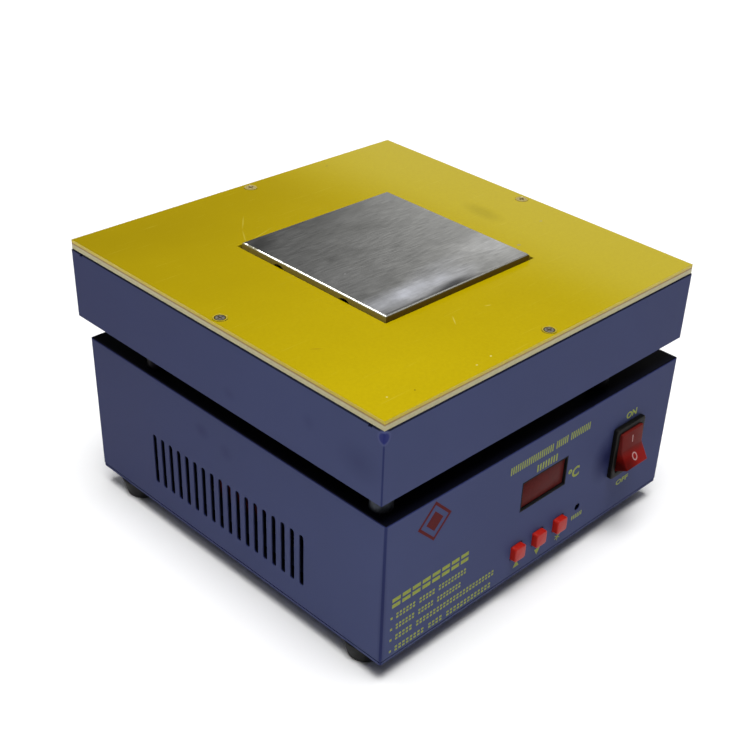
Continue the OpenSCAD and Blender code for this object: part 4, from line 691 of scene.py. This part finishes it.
# Painted reflection and light: the sides are painted brown like the yellow board, the left side paler
facing = add(tree, "SeparateXYZ", {0: geometry.outputs["Normal"]}).outputs["X"]
left_side = add(tree, "MapRange", {"Value": facing, "From Min": -0.3, "From Max": -0.6}).outputs[0]
painted_side_reflection = add(
    tree, "Mix", {0: left_side, 6: srgb("6C5C2C"), 7: srgb("9C946A")}, data_type="RGBA"
).outputs[2]
tone = add(tree, "Mix", {0: low_edge, 6: top_tone, 7: painted_side_reflection}, data_type="RGBA").outputs[2]
gloss = add(tree, "MapRange", {"Value": line, "To Min": 0.40, "To Max": 0.50}).outputs[0]
gloss = add(tree, "Math", {0: gloss, 1: hard}, operation="ADD").outputs[0]
sheer = add(
    tree, "Mix", {0: bevel_face, 6: gloss, 7: (0.25, 0.25, 0.25, 1.0)}, data_type="RGBA"
).outputs[2]
sheer = add(tree, "Mix", {0: low_edge, 6: sheer, 7: (0.6, 0.6, 0.6, 1.0)}, data_type="RGBA").outputs[2]
bump = add(tree, "Bump", {"Height": line, "Strength": 0.12, "Distance": 0.04 * mm}).outputs[0]
fill(tree, shader, {"Base Color": tone, "Roughness": sheer, "Normal": bump})
dress(ground, "heater_plate")


# Heaters and probe in the plate
# Two cartridge heaters and a temperature probe, drawn stainless tubes swaged shut,
# slide into bores in the plate.
def mottled(name, values, size, detail, tones, gloss=None, grain=None):
    """A finish of two tones in clouds of one size, which may also drive its gloss and its relief."""
    made, tree, shader, place = finish(name, values)
    cloud = add(
        tree, "TexNoise", {"Vector": place, "Scale": 1 / (size * mm), "Detail": detail}
    ).outputs[0]
    tone = add(tree, "Mix", {0: cloud, 6: srgb(tones[0]), 7: srgb(tones[1])}, data_type="RGBA").outputs[2]
    inputs = {"Base Color": tone}
    if gloss:
        inputs["Roughness"] = add(
            tree, "MapRange", {"Value": cloud, "To Min": gloss[0], "To Max": gloss[1]}
        ).outputs[0]
    if grain:
        inputs["Normal"] = add(
            tree, "Bump", {"Height": cloud, "Strength": grain[0], "Distance": grain[1] * mm}
        ).outputs[0]
    fill(tree, shader, inputs)
    return made


# Drawn stainless: smooth, tinted straw and blue-grey by heat
sheath = mottled(
    "heat_tinted_stainless_tube", {"Metallic": 1.0, "Roughness": 0.32}, 9, 2.0, ("8E8468", "A9ACB2")
)
dress(sheath, "cartridge_heaters", "temperature_probe")

# Plate posts and mica washers
# Steatite tubes keep the hot plate off the case floor, each under a mica washer.
# Fired steatite: off-white, dull, with fine pores of half a millimetre
ceramic = mottled(
    "fired_steatite", {"Roughness": 0.55, "IOR": 1.6}, 0.5, 3.0, ("C6BDA8", "E6E0D2"), grain=(0.2, 0.03)
)
dress(ceramic, "plate_posts")

# Pressed mica: brown-gold flakes of 2 mm with a soft metallic shine
mica, tree, shader, place = finish("pressed_mica", {"Metallic": 0.3, "Roughness": 0.35, "IOR": 1.58})
flake = add(tree, "TexVoronoi", {"Vector": place, "Scale": 1 / (2 * mm)})
tone = add(
    tree, "Mix", {0: flake.outputs["Distance"], 6: srgb("B49C5C"), 7: srgb("7E6A3A")}, data_type="RGBA"
).outputs[2]
fill(tree, shader, {"Base Color": tone})
dress(mica, "mica_washers")


# Insulation
# A pad under the plate and a ring round it, cut from ceramic fibre board with a knife,
# so their edges are a little soft.
def copy_of(node, name):
    """A new piece that starts as a merged copy of a CAD node's mesh."""
    bpy.ops.object.select_all(action="DESELECT")
    piece = bpy.data.objects.new(name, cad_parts[node].data.copy())
    scene.collection.objects.link(piece)
    bpy.context.view_layer.objects.active = piece
    piece.select_set(True)
    bpy.ops.object.mode_set(mode="EDIT")
    bpy.ops.mesh.select_all(action="SELECT")
    bpy.ops.mesh.remove_doubles(threshold=0.002 * mm)
    bpy.ops.mesh.tris_convert_to_quads(face_threshold=0.02, shape_threshold=3.0)
    bpy.ops.object.mode_set(mode="OBJECT")
    return piece


# Ceramic fibre board: white, matt, felted in clumps of about 2 mm
fibre_round = 0.2
fibre, tree, shader, place = finish("ceramic_fibre_board", {"Roughness": 0.95})
felt = add(
    tree, "TexNoise", {"Vector": place, "Scale": 1 / (2 * mm), "Detail": 6.0, "Roughness": 0.7}
).outputs[0]
tone = add(tree, "Mix", {0: felt, 6: srgb("CFC9B8"), 7: srgb("F0ECE2")}, data_type="RGBA").outputs[2]
bump = add(tree, "Bump", {"Height": felt, "Strength": 0.8, "Distance": 0.3 * mm}).outputs[0]
fill(tree, shader, {"Base Color": tone, "Normal": bump})
for node, name in (("insulation_pad", "fibre_pad"), ("insulation_ring", "fibre_ring")):
    piece = copy_of(node, name)
    rounded(fibre_round, segments=2)
    settle(piece, fibre, "housing", "ceramic_fibre", node)

# Wires
# Glass-braided leads run from the heaters and the probe, and plastic-covered mains
# wires run between inlet, switch, transformer and power board. All are round.
# Braided lead: off-white glass, one colour with the sleeve but finer
lead = mottled(
    "glass_braided_lead", {"Roughness": 0.7}, 0.5, 2.0, ("B9B096", "ECE6D6"), grain=(0.5, 0.06)
)

# Soft PVC cover: smooth brown with a faint waxy mottling
pvc = mottled("soft_brown_pvc", {"Roughness": 0.4, "IOR": 1.53}, 6, 2.0, ("5E3720", "7E4E30"))
for node, name, made, slot in (
    ("heater_leads", "round_heater_leads", lead, "lead_insulation"),
    ("probe_lead", "round_probe_lead", lead, "lead_insulation"),
    ("mains_leads", "round_mains_leads", pvc, "lead_insulation"),
):
    piece = copy_of(node, name)
    modifier = piece.modifiers.new("round", "SUBSURF")
    modifier.levels = modifier.render_levels = 1
    bpy.ops.object.modifier_apply(modifier="round")
    settle(piece, made, "housing", slot, node)

# Display
# A black hood lines the window in the panel, with a red acrylic filter set back in it
# and the dark digit module behind.
# Matt black coating inside the hood, which keeps stray light off the digits
hood_black = mottled(
    "matt_black_hood", {"IOR": 1.3}, 0.8, 2.0, ("040405", "0A0A0C"), gloss=(0.7, 0.85)
)
dress(hood_black, "display_frame")

# Moulded black ABS: near-black with a fine grain of 0.4 mm
abs_black = mottled(
    "moulded_black_abs",
    {"IOR": 1.54},
    0.4,
    2.0,
    ("0E0E10", "1A1A1C"),
    gloss=(0.4, 0.55),
    grain=(0.2, 0.03),
)
dress(abs_black, "display_module", "key_switches")

# Red acrylic: a dark brown red, mottled with dust, sawn square with lightly broken edges
# and milled down round its middle, which stands forward in the window
filter_lap = 1.1
filter_step = 1.0
filter_round = 0.15


def block(name, middle, size):
    """A new box round its middle, both in millimetres, left in edit mode."""
    bpy.ops.object.select_all(action="DESELECT")
    bpy.ops.mesh.primitive_cube_add(size=1, location=Vector(middle) * mm, scale=Vector(size) * mm)
    piece = bpy.context.object
    piece.name = piece.data.name = name
    bpy.ops.object.transform_apply(location=True, rotation=True, scale=True)
    bpy.ops.object.mode_set(mode="EDIT")
    return piece


acrylic, tree, shader, place = finish("dusty_red_acrylic", {"IOR": 1.1})
dust = add(
    tree, "TexNoise", {"Vector": place, "Scale": 1 / (1.4 * mm), "Detail": 5.0, "Roughness": 0.7}
).outputs[0]
tone = add(tree, "Mix", {0: dust, 6: srgb("421210"), 7: srgb("622220")}, data_type="RGBA").outputs[2]
gloss = add(tree, "MapRange", {"Value": dust, "To Min": 0.3, "To Max": 0.5}).outputs[0]
fill(tree, shader, {"Base Color": tone, "Roughness": gloss})
low, high = (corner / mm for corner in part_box("display_filter"))
piece = block("red_filter", (low + high) / 2, high - low)
pick("FACE", lambda at, way: way.y < -0.9)
bpy.ops.mesh.inset(thickness=filter_lap * mm)
push((0, -filter_step, 0))
bpy.ops.object.mode_set(mode="OBJECT")
rounded(filter_round, segments=2)
settle(piece, acrylic, "housing", "red_filter", "display_filter")

# Key caps
# Three keys moulded in red ABS, square with rounded corners and a soft front edge,
# each with a flange behind the panel and a black plunger into its switch.
cap_corner = 1.2
cap_front_round = 0.8
cap_flange_w = 1.0
cap_flange_t = 1.1
cap_crown = 0.15
cap_round = 0.35

# Glossy red ABS: one even red with a faint moulding haze
key_red = mottled(
    "glossy_red_abs", {"IOR": 1.28}, 2.2, 3.0, ("A2160C", "B01E12"), gloss=(0.3, 0.45)
)
for node, name, body in (
    ("up_button", "up_cap", "up_key"),
    ("down_button", "down_cap", "down_key"),
    ("set_button", "set_cap", "set_key"),
):
    low, high = (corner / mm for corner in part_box(node))
    middle = (low + high) / 2
    flange_y = high.y - cap_flange_t
    wide = high.x - low.x - 2 * cap_flange_w
    tall = high.z - low.z - 2 * cap_flange_w
    size = (wide, flange_y - low.y, tall)
    piece = block(name, (middle.x, (low.y + flange_y) / 2, middle.z), size)
    pick("EDGE", lambda at, way: abs(way.y) > 0.9)
    bpy.ops.mesh.bevel(offset=cap_corner * mm, segments=4)
    pick("FACE", lambda at, way: way.y < -0.9)
    bpy.ops.mesh.inset(thickness=cap_front_round * mm)
    bpy.ops.transform.translate(value=(0, -cap_crown * mm, 0))
    pick("FACE", lambda at, way: way.y > 0.9)
    push((0, 0.0, 0))
    bpy.ops.transform.resize(
        value=((wide + 2 * cap_flange_w) / wide, 1, (tall + 2 * cap_flange_w) / tall),
        center_override=middle * mm,
    )
    push((0, cap_flange_t, 0))
    bpy.ops.mesh.select_all(action="SELECT")
    bpy.ops.transform.translate(value=(0, cap_crown * mm, 0))
    done()
    rounded(cap_round)
    settle(piece, key_red, body, "red_plastic", node)

# Black nylon plungers: dull, with a fine grain
nylon = mottled("black_nylon", {"IOR": 1.53}, 0.6, 2.0, ("141416", "26262A"), gloss=(0.45, 0.6))
dress(nylon, "up_plunger", "down_plunger", "set_plunger")

# Calibration trimmer
# A blue square trimmer with a white slotted rotor, reached through a small hole.
# Blue thermoset: smooth, slightly mottled
blue_set = mottled(
    "blue_thermoset", {"Roughness": 0.35, "IOR": 1.55}, 1.5, 2.0, ("1E3F86", "2E57A4")
)
dress(blue_set, "trimmer_body")

# White acetal: waxy, faintly mottled
acetal = mottled("white_acetal", {"Roughness": 0.4, "IOR": 1.48}, 2, 2.0, ("D0CCBE", "E8E4DA"))
dress(acetal, "trimmer_rotor")

# Circuit boards and what stands on them
# The control board hangs on brass studs behind the panel and the power board stands on
# brass posts on the floor. Chips, relay, capacitor and plugs are moulded in plastic.
# Green solder mask over copper: tracks show as lighter lines, 1 mm apart and 2 mm long
mask, tree, shader, place = finish("green_solder_mask", {"Roughness": 0.3, "IOR": 1.5})
track = add(tree, "TexBrick", {"Vector": place, "Scale": 1 / (4 * mm), "Mortar Size": 0.06})
fill(tree, track, {"Color1": srgb("1F5A2C"), "Color2": srgb("26662F"), "Mortar": srgb("3E8446")})
fill(tree, shader, {"Base Color": track.outputs["Color"]})
dress(mask, "control_board", "power_board")

# Turned brass: warm yellow, slightly tarnished
brass = mottled(
    "tarnished_brass", {"Metallic": 1.0}, 3, 4.0, ("8C6A30", "C9A455"), gloss=(0.25, 0.45)
)
dress(brass, "board_studs", "power_board_posts", "switch_terminals")

# Black moulded epoxy with a matt, spark-roughened skin
epoxy = mottled(
    "black_moulded_epoxy",
    {"Roughness": 0.6, "IOR": 1.55},
    0.5,
    2.0,
    ("18181A", "2A2A2C"),
    grain=(0.3, 0.03),
)
dress(epoxy, "control_parts")

# Blue polyester cases of relay and capacitor: glossy, evenly coloured
case_blue = mottled(
    "blue_polyester_case", {"Roughness": 0.28, "IOR": 1.55}, 5, 2.0, ("1B3580", "24439A")
)
dress(case_blue, "power_parts")

# Green polyamide terminal block
green_block = mottled(
    "green_polyamide", {"Roughness": 0.45, "IOR": 1.53}, 2, 2.0, ("1F5E38", "2C7A4A")
)
dress(green_block, "terminal_block")

# Extruded aluminium heatsink: draw lines run up the fins, 1 mm apart
extruded, tree, shader, place = finish("extruded_aluminium", {"Metallic": 1.0})
drag = add(tree, "Mapping", {"Vector": place, "Scale": (1, 1, 0.05)})
draw = add(tree, "TexNoise", {"Vector": drag.outputs[0], "Scale": 1 / mm}).outputs[0]
tone = add(tree, "Mix", {0: draw, 6: srgb("8E9092"), 7: srgb("B8BABC")}, data_type="RGBA").outputs[2]
dull = add(tree, "MapRange", {"Value": draw, "To Min": 0.3, "To Max": 0.5}).outputs[0]
fill(tree, shader, {"Base Color": tone, "Roughness": dull})
dress(extruded, "heatsink")

# Grey ribbon cable: cores 1.27 mm apart, drawn as ridges 2.4 mm apart so that they show
core_pitch = 2.394
ribbon, tree, shader, place = finish("grey_ribbon_cable", {"Roughness": 0.5, "IOR": 1.53})
cores = add(
    tree, "TexWave", {"Vector": place, "Scale": wave_period / (core_pitch * mm)}, bands_direction="X"
).outputs[1]
tone = add(tree, "Mix", {0: cores, 6: srgb("76787C"), 7: srgb("9A9CA0")}, data_type="RGBA").outputs[2]
bump = add(tree, "Bump", {"Height": cores, "Strength": 0.6, "Distance": 0.3 * mm}).outputs[0]
fill(tree, shader, {"Base Color": tone, "Normal": bump})
dress(ribbon, "control_cable")

# Power switch
# A black nylon rim with a rounded front edge snaps into the panel, and a red rocker
# with a dip across its middle tilts in it.
switch_low, switch_high = (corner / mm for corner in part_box("switch_housing"))
rim_t = 2.5
rim_corner = 1.5
rim_round = 0.45
rocker_wide = 16.6
rocker_half = 9.3
rocker_rise = 7.3
rocker_dip = 2.2
rocker_back = 5.0
rocker_bulge = 1.2
rocker_tilt = 17
rocker_gap = 0.35
rocker_round = 0.5
axis_y = -96.8
neck_wall = 1.5
neck_h = 24.6
cavity_lip = 1.1
cavity_depth = 13.1
switch_mid = (switch_low + switch_high) / 2
pivot = Vector((switch_mid.x, axis_y, switch_mid.z))
neck_w = rocker_wide + 2 * (rocker_gap + neck_wall)
cavity_w = rocker_wide + rocker_gap
cavity_h = neck_h - 2 * cavity_lip

# Black polyamide: dull, grained at 0.4 mm, and grey along its edges, partly rubbed and partly a painted
# highlight
rim_black, tree, shader, place = finish("grained_black_polyamide", {"IOR": 1.2})
grain = add(tree, "TexNoise", {"Vector": place, "Scale": 1 / (0.4 * mm)}).outputs[0]
rub = add(tree, "TexNoise", {"Vector": place, "Scale": 1 / (3 * mm), "Detail": 3.0}).outputs[0]
bent = add(tree, "Bevel", {"Radius": 0.7 * mm}, samples=4)
flat = add(tree, "NewGeometry", {})
turn = add(
    tree, "VectorMath", {0: bent.outputs[0], 1: flat.outputs["Normal"]}, operation="DOT_PRODUCT"
).outputs["Value"]
# Partly painted highlight: the edges are painted grey
edge = add(tree, "MapRange", {"Value": turn, "From Min": 0.99, "From Max": 0.93}).outputs[0]
share = add(tree, "Math", {0: edge, 1: rub}, operation="MULTIPLY").outputs[0]
dark = add(tree, "Mix", {0: grain, 6: srgb("070706"), 7: srgb("100F0D")}, data_type="RGBA").outputs[2]
tone = add(tree, "Mix", {0: share, 6: dark, 7: srgb("34332B")}, data_type="RGBA").outputs[2]
gloss = add(tree, "MapRange", {"Value": grain, "To Min": 0.42, "To Max": 0.58}).outputs[0]
bump = add(tree, "Bump", {"Height": grain, "Strength": 0.25, "Distance": 0.03 * mm}).outputs[0]
fill(tree, shader, {"Base Color": tone, "Roughness": gloss, "Normal": bump})

rim_w = switch_high.x - switch_low.x
rim_h = switch_high.z - switch_low.z
rim = block("switch_rim", (pivot.x, switch_low.y + rim_t / 2, pivot.z), (rim_w, rim_t, rim_h))
pick("EDGE", lambda at, way: abs(way.y) > 0.9)
bpy.ops.mesh.bevel(offset=rim_corner * mm, segments=4)
centre = pivot * mm
pick("FACE", lambda at, way: way.y > 0.9)
push((0, 0, 0))
bpy.ops.transform.resize(value=(neck_w / rim_w, 1, neck_h / rim_h), center_override=centre)
push((0, switch_high.y - switch_low.y - rim_t, 0))
pick("FACE", lambda at, way: way.y < -0.9)
push((0, 0, 0))
bpy.ops.transform.resize(value=(cavity_w / rim_w, 1, cavity_h / rim_h), center_override=centre)
push((0, cavity_depth, 0))
done()
rounded(rim_round)
settle(rim, rim_black, "housing", "black_plastic", "switch_housing")

# Red polycarbonate: deep and glossy below; the upper half is painted darker and greyer as painted shade
# with a painted sheen, and a painted shadow lies at the upper left of the lower half
rocker_red, tree, shader, place = finish("deep_red_polycarbonate", {"IOR": 1.12})
haze = add(tree, "TexNoise", {"Vector": place, "Scale": 1 / (4 * mm), "Detail": 3.0}).outputs[0]
level = add(tree, "SeparateXYZ", {0: place}).outputs["Z"]
painted_upper_half = add(
    tree, "MapRange", {"Value": level, "From Min": (pivot.z - 2) * mm, "From Max": (pivot.z + 1) * mm}
).outputs[0]
lit = add(tree, "Mix", {0: haze, 6: srgb("720806"), 7: srgb("8E1008")}, data_type="RGBA").outputs[2]
# Painted shadow at the upper left of the lower half
painted_rocker_shadow = spot(tree, place, (58.5, -101, 41), (8, 12, 8), 0.0, 0.3)
lit = add(tree, "Mix", {0: painted_rocker_shadow, 6: lit, 7: srgb("3E0402")}, data_type="RGBA").outputs[2]
dust_and_sheen = add(tree, "Mix", {0: haze, 6: srgb("581816"), 7: srgb("6A201C")}, data_type="RGBA").outputs[2]
tone = add(tree, "Mix", {0: painted_upper_half, 6: lit, 7: dust_and_sheen}, data_type="RGBA").outputs[2]
gloss = add(tree, "MapRange", {"Value": haze, "To Min": 0.35, "To Max": 0.5}).outputs[0]
fill(tree, shader, {"Base Color": tone, "Roughness": gloss})

rocker_size = (rocker_wide, rocker_rise + rocker_back, 2 * rocker_half)
rocker = block("rocker_key", (0, (rocker_back - rocker_rise) / 2, 0), rocker_size)
bpy.ops.mesh.select_all(action="SELECT")
bpy.ops.mesh.bisect(plane_co=(0, 0, 0), plane_no=(0, 0, 1))
bpy.ops.mesh.select_all(action="SELECT")
bpy.ops.mesh.bisect(plane_co=(0, 0, 0), plane_no=(0, 1, 0))
pick("EDGE", lambda at, way: abs(way.x) > 0.9 and abs(at.z) < 0.1 and at.y < -1)
bpy.ops.transform.translate(value=(0, rocker_dip * mm, 0))
for end in (-1, 1):
    pick("EDGE", lambda at, way: abs(way.x) > 0.9 and at.z * end > rocker_half - 1 and abs(at.y) < 0.1)
    bpy.ops.transform.translate(value=(0, 0, end * rocker_bulge * mm))
bpy.ops.object.mode_set(mode="OBJECT")
rounded(rocker_round, angle=12)

# Its marks: a bar and a ring, printed in a thin pale ink
mark_t = 0.06
ring_w = 1.8
ring_h = 2.1
ring_hole = (0.66, 0.70, 1)
stroke_w = 0.5
stroke_h = 3.8
mark_y = -(rocker_rise - rocker_dip / 2)
face_tilt = math.degrees(math.atan(rocker_dip / rocker_half))
pale_ink = mottled("pale_pad_printing_ink", {"Roughness": 0.5}, 0.5, 3.0, ("8A5652", "C8A8A4"))
bpy.ops.object.select_all(action="DESELECT")
bpy.ops.mesh.primitive_cylinder_add(vertices=40, radius=1, depth=1, end_fill_type="NOTHING")
ring = bpy.context.object
ring.name = ring.data.name = "rocker_off_mark"
bpy.ops.object.mode_set(mode="EDIT")
bpy.ops.mesh.select_all(action="SELECT")
bpy.ops.mesh.extrude_region_move()
bpy.ops.transform.resize(value=ring_hole, center_override=(0, 0, 0))
bpy.ops.mesh.select_all(action="SELECT")
for level in (-0.5, 0.5):
    pick("EDGE", lambda at, way: abs(at.z * mm - level) < 0.01)
    bpy.ops.mesh.bridge_edge_loops()
done()
ring.scale = (ring_w * mm, ring_h * mm, mark_t * mm)
ring.rotation_euler = (math.radians(90 - face_tilt), 0, 0)
ring.location = (0, mark_y * mm, -rocker_half / 2 * mm)
bpy.ops.object.transform_apply(location=True, rotation=True, scale=True)

stroke = block("rocker_on_mark", (0, 0, 0), (stroke_w, mark_t, stroke_h))
bpy.ops.object.mode_set(mode="OBJECT")
stroke.rotation_euler = (math.radians(face_tilt), 0, 0)
stroke.location = (0, mark_y * mm, rocker_half / 2 * mm)
bpy.ops.object.transform_apply(location=True, rotation=True, scale=True)
for piece, made, slot, nodes in (
    (rocker, rocker_red, "rocker_red", ["rocker"]),
    (ring, pale_ink, "white_plastic", []),
    (stroke, pale_ink, "white_plastic", []),
):
    piece.rotation_euler = (-math.radians(rocker_tilt), 0, 0)
    piece.location = pivot * mm
    settle(piece, made, "power_rocker", slot, *nodes)

# Print on the front panel
# Screen printed after the coat in one yellow-green ink: rows of short bars, generic words,
# two arrows and a star, with one plain figure in dark red.
panel_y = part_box("lower_case")[0].y
ink_t = 0.03
dot_half = 0.6
line_half = 1.4
star_x = 18.9
star_z = 16.5
star_line = 0.25
star_half = 2.2
arrow_z = 16.4
arrow_r = 2.4

# Screen ink: thin, so the coat darkens it, in fine patches of 0.9 mm
ink = mottled("yellow_screen_ink", {"Roughness": 0.55, "IOR": 1.15}, 0.9, 3.0, ("747E3C", "A8B250"))

bpy.ops.object.select_all(action="DESELECT")
bpy.ops.mesh.primitive_plane_add(size=1, location=(0, 0, 0))
print_piece = bpy.context.object
print_piece.name = print_piece.data.name = "panel_print"
bpy.ops.object.mode_set(mode="EDIT")
bpy.ops.mesh.select_all(action="SELECT")
bpy.ops.mesh.delete(type="VERT")


def bar(x0, x1, z0, z1, turn=0):
    """Adds a flat bar to the print, between two places on the panel in millimetres."""
    middle = ((x0 + x1) / 2 * mm, panel_y, (z0 + z1) / 2 * mm)
    quarter = math.radians(90)
    bpy.ops.mesh.primitive_plane_add(size=(z1 - z0) * mm, location=middle, rotation=(quarter, 0, 0))
    bpy.ops.transform.resize(value=((x1 - x0) / (z1 - z0), 1, 1), center_override=middle)
    bpy.ops.transform.rotate(value=math.radians(turn), orient_axis="Y", center_override=middle)


def row(x0, x1, z0, z1, words, layers=1, full=0.55):
    """Adds a row of bars in one or more layers, one word after another, a bar's width apart."""
    pitch = (x1 - x0) / (sum(words) + len(words) - 1)
    tall = (z1 - z0) / (1.6 * layers - 0.6)
    at = x0
    for count in words:
        for k in range(count):
            for layer in range(layers):
                foot_z = z0 + 1.6 * layer * tall
                bar(at + k * pitch, at + (k + full) * pitch, foot_z, foot_z + tall)
        at += (count + 1) * pitch


row(-22.3, 34.0, 71.2, 75.2, (20, 6, 10), full=0.5)
row(-3.6, 11.5, 64.3, 68.1, (8,), full=0.5)
row(28.7, 37.2, 20.9, 23.4, (6,), full=0.5)
row(-92.3, -44.8, 38.3, 43.3, (8,), layers=2, full=0.8)
for z, right, words in (
    (33.0, -46.2, (6, 5, 9)),
    (26.9, -49.1, (6, 5, 8)),
    (21.0, -26.6, (5, 24)),
    (14.7, -28.1, (8, 4, 13)),
):
    bar(-92.9, -91.7, z - dot_half, z + dot_half)
    row(-89.5, right, z - line_half, z + line_half, words, layers=2, full=0.62)
for turn in (0, 60, 120):
    bar(star_x - star_line, star_x + star_line, star_z - star_half, star_z + star_half, turn)
for x, turn in ((-11.2, 0), (3.9, 180)):
    bpy.ops.mesh.primitive_circle_add(
        vertices=3,
        radius=arrow_r * mm,
        fill_type="NGON",
        location=(x * mm, panel_y, arrow_z * mm),
        rotation=(math.radians(90), math.radians(turn), 0),
    )
bpy.ops.object.mode_set(mode="OBJECT")
words = [print_piece]
for text, x0, x1, z0, z1 in (
    ("ON", 63.0, 71.2, 63.2, 67.0),
    ("OFF", 63.2, 73.2, 24.3, 27.4),
    ("°C", 21.0, 29.4, 47.5, 53.6),
):
    bpy.ops.object.text_add(location=(0, 0, 0), rotation=(0, 0, 0))
    word = bpy.context.object
    word.data.body = text
    word.data.size = 1
    word.data.offset = 0.03
    word.data.resolution_u = 3
    bpy.ops.object.convert(target="MESH")
    low = Vector([min(v.co[i] for v in word.data.vertices) for i in range(3)])
    high = Vector([max(v.co[i] for v in word.data.vertices) for i in range(3)])
    across = (x1 - x0) * mm / (high.x - low.x)
    along = (z1 - z0) * mm / (high.y - low.y)
    word.rotation_euler = (math.radians(90), 0, 0)
    word.scale = (across, along, 1)
    word.location = (x0 * mm - low.x * across, panel_y, z0 * mm - low.y * along)
    bpy.ops.object.transform_apply(location=True, rotation=True, scale=True)
    words.append(word)
bpy.ops.object.select_all(action="DESELECT")
for word in words:
    word.select_set(True)
bpy.context.view_layer.objects.active = print_piece
bpy.ops.object.join()
bpy.ops.object.mode_set(mode="EDIT")
bpy.ops.mesh.select_all(action="SELECT")
push((0, -ink_t, 0))
done()
settle(print_piece, ink, "housing", "white_plastic")

# The dark red figure: a filled diamond in the outline of a larger one
red_ink = mottled(
    "dark_red_screen_ink", {"Roughness": 0.55, "IOR": 1.15}, 0.9, 3.0, ("4A0C12", "5E1818")
)
figure_x = -69.6
figure_z = 71.6
figure_r = 10
figure_line = 1.3
figure_gap = 2.2
bpy.ops.object.select_all(action="DESELECT")
bpy.ops.mesh.primitive_circle_add(
    vertices=4,
    radius=figure_r * mm,
    fill_type="NGON",
    location=(figure_x * mm, panel_y, figure_z * mm),
    rotation=(math.radians(90), 0, 0),
)
figure = bpy.context.object
figure.name = figure.data.name = "panel_figure"
bpy.ops.object.transform_apply(location=True, rotation=True, scale=True)
bpy.ops.object.mode_set(mode="EDIT")
bpy.ops.mesh.select_all(action="SELECT")
bpy.ops.mesh.inset(thickness=figure_line * mm)
bpy.ops.mesh.inset(thickness=figure_gap * mm)
pick("FACE", lambda at, way: 2 < abs(at.x - figure_x) + abs(at.z - figure_z) < 8)
bpy.ops.mesh.delete(type="FACE")
bpy.ops.mesh.select_all(action="SELECT")
push((0, -ink_t, 0))
done()
settle(figure, red_ink, "housing", "red_plastic")

# Mains inlet and fuse drawer
# A black thermoplastic inlet for a detachable cord is screwed to the rear wall, with
# three plated pins and a drawer that holds a glass fuse.
dress(rim_black, "inlet_housing", "fuse_drawer")

# Nickel-plated brass pins: bright, faintly yellow, with fine rubbing marks
nickel, tree, shader, place = finish("nickel_plated_brass", {"Metallic": 1.0})
rub = add(tree, "Mapping", {"Vector": place, "Scale": (1, 0.1, 1)})
mark = add(
    tree, "TexNoise", {"Vector": rub.outputs[0], "Scale": 1 / (0.8 * mm), "Detail": 3.0}
).outputs[0]
tone = add(tree, "Mix", {0: mark, 6: srgb("A8A498"), 7: srgb("D0CEC6")}, data_type="RGBA").outputs[2]
dull = add(tree, "MapRange", {"Value": mark, "To Min": 0.18, "To Max": 0.35}).outputs[0]
fill(tree, shader, {"Base Color": tone, "Roughness": dull})
dress(nickel, "inlet_pins")

# Fuse glass: pale grey and smooth, faintly clouded
glass = mottled(
    "fuse_glass_and_caps", {"Roughness": 0.15, "IOR": 1.5}, 4, 1.0, ("A8B0B4", "D4DADC")
)
dress(glass, "fuse")

# Transformer
# A stack of silicon steel sheets in a clamp, with its windings wrapped in red tape.
# Stacked steel: dark varnished grey with sheets of 0.5 mm, drawn 1.9 mm apart to show
sheet_pitch = 1.885
stack, tree, shader, place = finish("varnished_steel_stack", {"Metallic": 0.8})
sheets = add(
    tree,
    "TexWave",
    {"Vector": place, "Scale": wave_period / (sheet_pitch * mm), "Distortion": 0.4},
    bands_direction="X",
).outputs[1]
tone = add(tree, "Mix", {0: sheets, 6: srgb("3A3C40"), 7: srgb("6E7074")}, data_type="RGBA").outputs[2]
bump = add(tree, "Bump", {"Height": sheets, "Strength": 0.4, "Distance": 0.1 * mm}).outputs[0]
fill(tree, shader, {"Base Color": tone, "Roughness": 0.5, "Normal": bump})
dress(stack, "transformer_core")

# Polyester tape: glossy red, with the edges of its turns as soft lines 11 mm apart
tape_pitch = 11.31
tape, tree, shader, place = finish("red_polyester_tape", {"Roughness": 0.28, "IOR": 1.57})
turns = add(
    tree,
    "TexWave",
    {"Vector": place, "Scale": wave_period / (tape_pitch * mm), "Distortion": 1.0},
    bands_direction="Z",
).outputs[1]
tone = add(tree, "Mix", {0: turns, 6: srgb("400A08"), 7: srgb("661610")}, data_type="RGBA").outputs[2]
bump = add(tree, "Bump", {"Height": turns, "Strength": 0.3, "Distance": 0.2 * mm}).outputs[0]
fill(tree, shader, {"Base Color": tone, "Normal": bump})
dress(tape, "transformer_coil")
